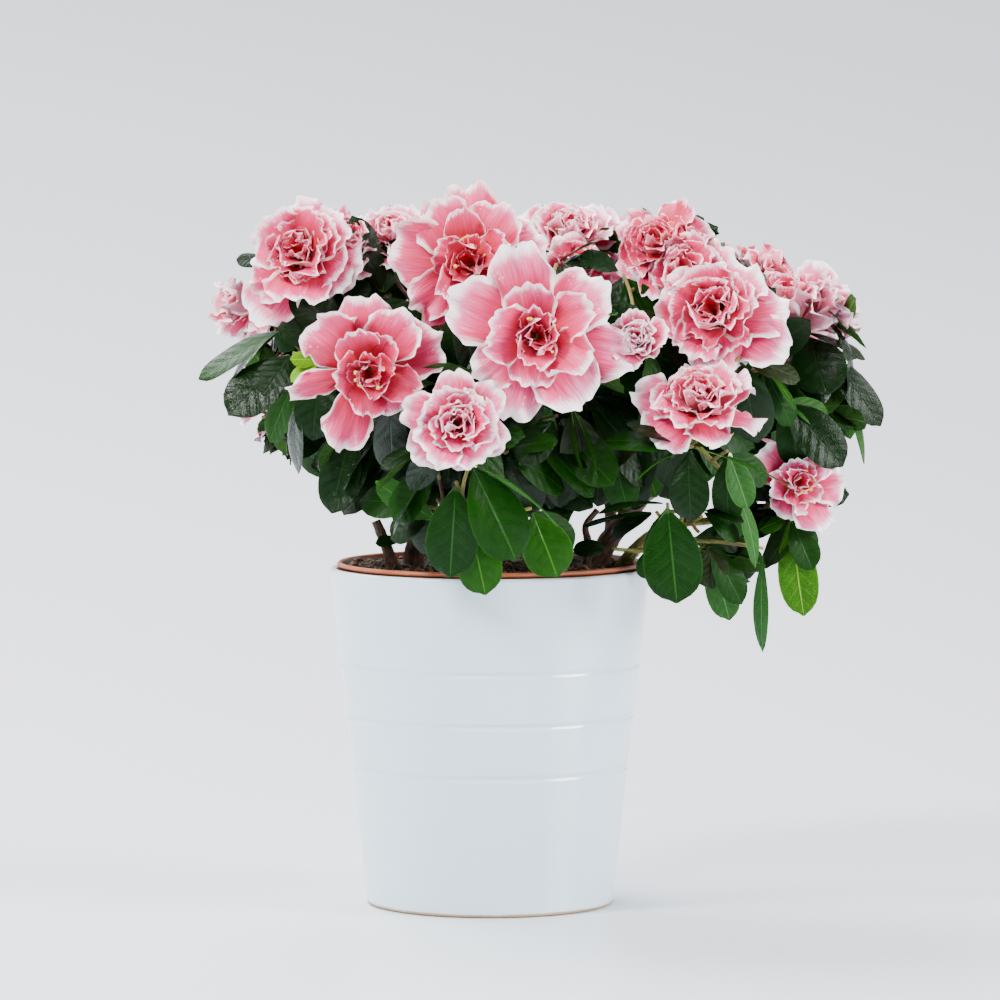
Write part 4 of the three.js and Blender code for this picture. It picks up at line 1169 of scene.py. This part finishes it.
def rear_flowers():
    """Flowers for the side that is turned away: four on the outer and upper faces of each
    rear blossom mass, facing outwards, and one on each of four leaf masses."""
    rng = np.random.default_rng(5)
    found = []
    for name in (name for name in REGIONS["rear"] if "blossom" in name):
        centre, half = MASSES[name]
        out = unit(np.array([centre[0] - 20, centre[1], 30.0]))
        side = unit(np.cross(out, [0, 0, 1.0]))
        for across, rise in ((-0.75, 0.1), (0.7, 0.25), (0.0, 0.85), (0.05, -0.6)):
            facing = unit(out + side * across * 0.8 + np.array([0, 0, rise + rng.uniform(-0.1, 0.1)]))
            width = rng.uniform(38, 52)
            habit = ("full", "open", "full", "funnel")[int(rng.integers(4))]
            tint = int(rng.integers(-1, 2))
            found.append((centre + facing * half * 0.66, facing, width, habit, tint, "rear", ()))
    for name, facing in (("rear_left_leaf_mass", (-0.9, 0.3, 0.3)), ("rear_leaf_mass", (-0.1, 0.98, 0.2)),
                         ("right_rear_leaf_mass", (0.8, 0.6, 0.1)), ("inner_leaf_mass", (-0.5, 0.1, 1.0))):
        centre, half = MASSES[name]
        facing = unit(np.array(facing))
        found.append((centre + facing * half * 0.7, facing, rng.uniform(34, 46), "full", 0, "rear", ()))
    return found


# ---------------------------------------------------------------- assembling the plant


def show_shoots(rng):
    """For each region, its show leaves; and the shoot tips they spring from, each with the
    direction it grows in."""
    leaves, tips = {}, []
    for region, sprays in SPRAYS.items():
        leaves[region] = []
        for hub, looks in sprays:
            shown = [show_leaf(hub, *look) for look in looks]
            lean = np.mean([leaf[1] for leaf in shown], 0)
            tips.append((np.array(hub, float), unit(lean + [0, 0, 0.3])))
            leaves[region] += [(*leaf, rng.uniform(0.15, 0.55), rng.uniform(0.08, 0.26), look[5])
                               for leaf, look in zip(shown, looks)]
    return leaves, tips


def mass_shoots(name, rng):
    """Shoots of one mass, dealt over its ellipsoid at the golden angle: hub, direction, leaf
    length and tones. Front leaf masses keep theirs behind the show leaves."""
    centre, half = MASSES[name]
    size = float(np.mean(half))
    front = "leaf" in name and centre[1] < FRONT
    usual = 24 if front else 15 if "leaf" in name else 8
    count = 0 if name in SHOW_ONLY else int(round(usual * (size / 30) ** 2))
    for k in range(count):
        z = 1 - 2 * (k + 0.5) / count
        turn, out = GOLDEN_ANGLE * k + centre[0], math.sqrt(1 - z * z)
        towards = np.array([math.cos(turn) * out, math.sin(turn) * out, z])
        hub = centre + towards * half * rng.uniform(0.2, 0.62)
        if front:
            hub[1] = centre[1] + 12 + abs(hub[1] - centre[1])
        axis = unit(towards + 0.9 * unit(hub - STEM_HEART) + [0, 0, 0.3])
        tones = "dddmmb" if hub[2] < 205 else "dddms" if hub[1] < 40 else "ddmmsb"
        yield hub, axis, 34 if size < 27 else 38, tones


def build_plant():
    """Limbs, leaves, twigs and flowers. Every leaf and flower hangs on a shoot tip, and the
    twigs are grown to the tips once all of them are known."""
    rng = np.random.default_rng(3)
    barks = [bark_material("azalea_bark", "#2e1a10", "#6e452e", "#5c5840"),
             bark_material("green_bark", "#5a5222", "#8d8a3c", "#6b4a30")]
    lines = limb_lines()
    build_limbs(lines, barks)
    given = list(FLOWERS) + rear_flowers()
    homes = [flower[5] for flower in given]
    flowers = [(np.array(f[0], float), unit(np.array(f[1], float)), *f[2:5], f[6]) for f in given]
    foliage = {region: [] for region in REGIONS}
    show, tips = show_shoots(rng)

    stalks = [heart - facing * (FLOWER_DEPTH * width + 11) for heart, facing, width, *_ in flowers]
    for (_, facing, *_), base, region in zip(flowers, stalks, homes):
        tips.append((base, facing))
        collar = whorl(base - facing * 2, facing, 6, rng, long=31, spread=(72, 104))
        foliage[region] += [leaf for leaf in collar
                            if clear_of_flowers(leaf, flowers) and in_crown(leaf_tip(leaf))]

    for region, names in REGIONS.items():
        for name in names:
            centre = MASSES[name][0]
            for hub, axis, long, tones in mass_shoots(name, rng):
                tips.append((hub, axis))
                for leaf in whorl(hub, axis, 6, rng, long=long, tones=tones):
                    leaf = kept_inside(leaf, centre)
                    if leaf and clear_of_flowers(leaf, flowers) and clear_of_show(leaf, name, centre):
                        foliage[region].append(leaf)

    for spot in SHADE_SHOOTS:
        hub = np.array(spot, float)
        axis = unit(np.array([0.15 * hub[0] / 60, -0.75, 0.25]))
        tips.append((hub, axis))
        for leaf in whorl(hub, axis, 8, rng, tones="dddm"):
            if leaf_tip(leaf)[2] > SHADE_FLOOR and clear_of_flowers(leaf, flowers):
                foliage["left" if hub[0] < 20 else "right"].append(leaf)

    build_twigs(grow_twigs(lines, tips), barks)

    leaf_materials = [leaf_material(key) for key in TONE_KEYS]
    for region, names in REGIONS.items():
        leaves = build_leaves(f"leaves_{region}", foliage[region], leaf_materials, LEAF_GRID)
        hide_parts(*names)
        if show[region]:
            build_leaves(f"show_leaves_{region}", show[region], leaf_materials, SHOW_LEAF_GRID)

    petal_materials = [petal_material("azalea_petal", False), petal_material("azalea_petal_back", True)]
    for region in REGIONS:
        petals = [petal for flower, home in zip(flowers, homes) if home == region
                  for petal in flower_petals(flower, rng)]
        *columns, cells = (np.array(column) for column in zip(*petals))
        upper = petal_surfaces(*columns, PETAL_GRID if region == "rear" else SHOW_PETAL_GRID)
        face = np.zeros(len(cells), int)
        blossom = thin_shells(f"blossom_{region}", upper, PETAL_THICKNESS, cells, cells,
                              petal_materials, face, face + 1)
        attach(blossom, "root")

    parts, slots = [], []
    for flower, base in zip(flowers, stalks):
        more, kinds = flower_extras(flower, base, rng)
        parts += more
        slots += kinds
    extras = joined("flower_stalks_and_stamens", parts, [
        plain_tissue("calyx_green", "#8fa53a", "#6f8a2c"),
        plain_tissue("filament_pink", "#e2607c", "#d03a5c"),
        plain_tissue("stigma_yellow", "#dcc435", "#b9b02c")], slots)
    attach(extras, "root")


# ---------------------------------------------------------------- setting, light and camera


def laminate_material():
    """Pale laminate with a satin sheen, so the pot's foot is faintly mirrored in it."""
    material, tree = new_material("pale_laminate")
    place = add(tree, "TexCoord").node.outputs["Object"]
    cloud = add(tree, "TexNoise", place, 3.0, 3.0, 0.55)
    return finish_material(material, {
        "Base Color": add(tree, "Mix", cloud, linear("#d0d6dc"), linear("#cad0d6"), **COLOUR),
        "Roughness": add(tree, "Math", cloud, 0.08, 0.28, operation="MULTIPLY_ADD"),
        "IOR": 1.45})


def build_table():
    """A table top that ends behind the pot, just under the pot's foot."""
    left, right, front, back = -3000, 3000, -3600, 378
    outline = [[left, front], [right, front], [right, back], [left, back]]
    verts = np.array([[*corner, height] for height in (-0.05, -30.05) for corner in outline], float)
    quads = np.array([[0, 1, 2, 3], [7, 6, 5, 4], [0, 4, 5, 1], [1, 5, 6, 2], [2, 6, 7, 3], [3, 7, 4, 0]])
    table = write_object("table_top", verts, [quads], materials=[laminate_material()])
    table.data.polygons.foreach_set("use_smooth", np.zeros(len(quads), bool))


def build_world():
    """A pale room as a world light: brightest low down, dimmer overhead, to the right and on
    the viewer's side."""
    world = bpy.data.worlds.new("pale_room")
    bpy.context.scene.world = world
    world.use_nodes = True
    tree = world.node_tree
    tree.nodes.clear()
    way = add(tree, "SeparateXYZ", add(tree, "TexCoord").node.outputs["Generated"]).node.outputs
    strength = 1.0
    for axis, *ranges in ((2, -0.13, 0.03, 3.0, 1.55), (0, -0.1, 0.1, 1.12, 0.9),
                          (1, -0.9, 0.45, 0.12, 1.0), (2, 0.05, 0.6, 1.0, 0.55)):
        factor = add(tree, "MapRange", way[axis], *ranges)
        strength = add(tree, "Math", strength, factor, operation="MULTIPLY")
    add(tree, "OutputWorld", add(tree, "Background", linear("#f3f5fd"), strength))


def put_in_scene(name, data, spot):
    """An object that holds a lamp or a camera."""
    holder = bpy.data.objects.new(name, data)
    holder.location = spot
    bpy.context.scene.collection.objects.link(holder)
    return holder


def build_lamps():
    """Soft round lamps; each is aimed at the plant, and sizes and places are in metres."""
    for name, spot, aim, size, power, colour in (
            ("key_left", (-1.2, -0.95, 1.6), (0, 0, 0.2), 0.6, 84, (1.0, 0.985, 0.96)),
            ("soft_front", (-0.7, -2.0, 1.7), (0, 0, 0.2), 0.9, 38, (1.0, 1.0, 1.0)),
            ("sky_back", (-0.7, 0.9, 1.7), (0, 0, 0.22), 1.6, 130, (0.95, 0.98, 1.0)),
            ("wall_right", (1.7, -0.7, 0.9), (0, 0, 0.2), 1.0, 88, (1.0, 1.0, 1.0))):
        light = bpy.data.lights.new(name, "AREA")
        light.shape = "DISK"
        light.size = size
        light.energy = power
        light.color = colour
        holder = put_in_scene(name, light, spot)
        holder.rotation_euler = (Vector(aim) - Vector(spot)).to_track_quat("-Z", "Y").to_euler()


def build_camera():
    """A long lens a little above the crown, looking slightly down."""
    camera = bpy.data.cameras.new("camera")
    camera.sensor_width = 36.0
    camera.lens = 208.3
    camera.clip_start = 0.05
    holder = put_in_scene("camera", camera, (0.0, -2.48, 0.3448))
    holder.rotation_euler = (math.radians(90 - 3.949), 0.0, math.radians(-0.099))
    bpy.context.scene.camera = holder


build_pot()
build_soil()
build_plant()
build_table()
build_world()
build_lamps()
build_camera()
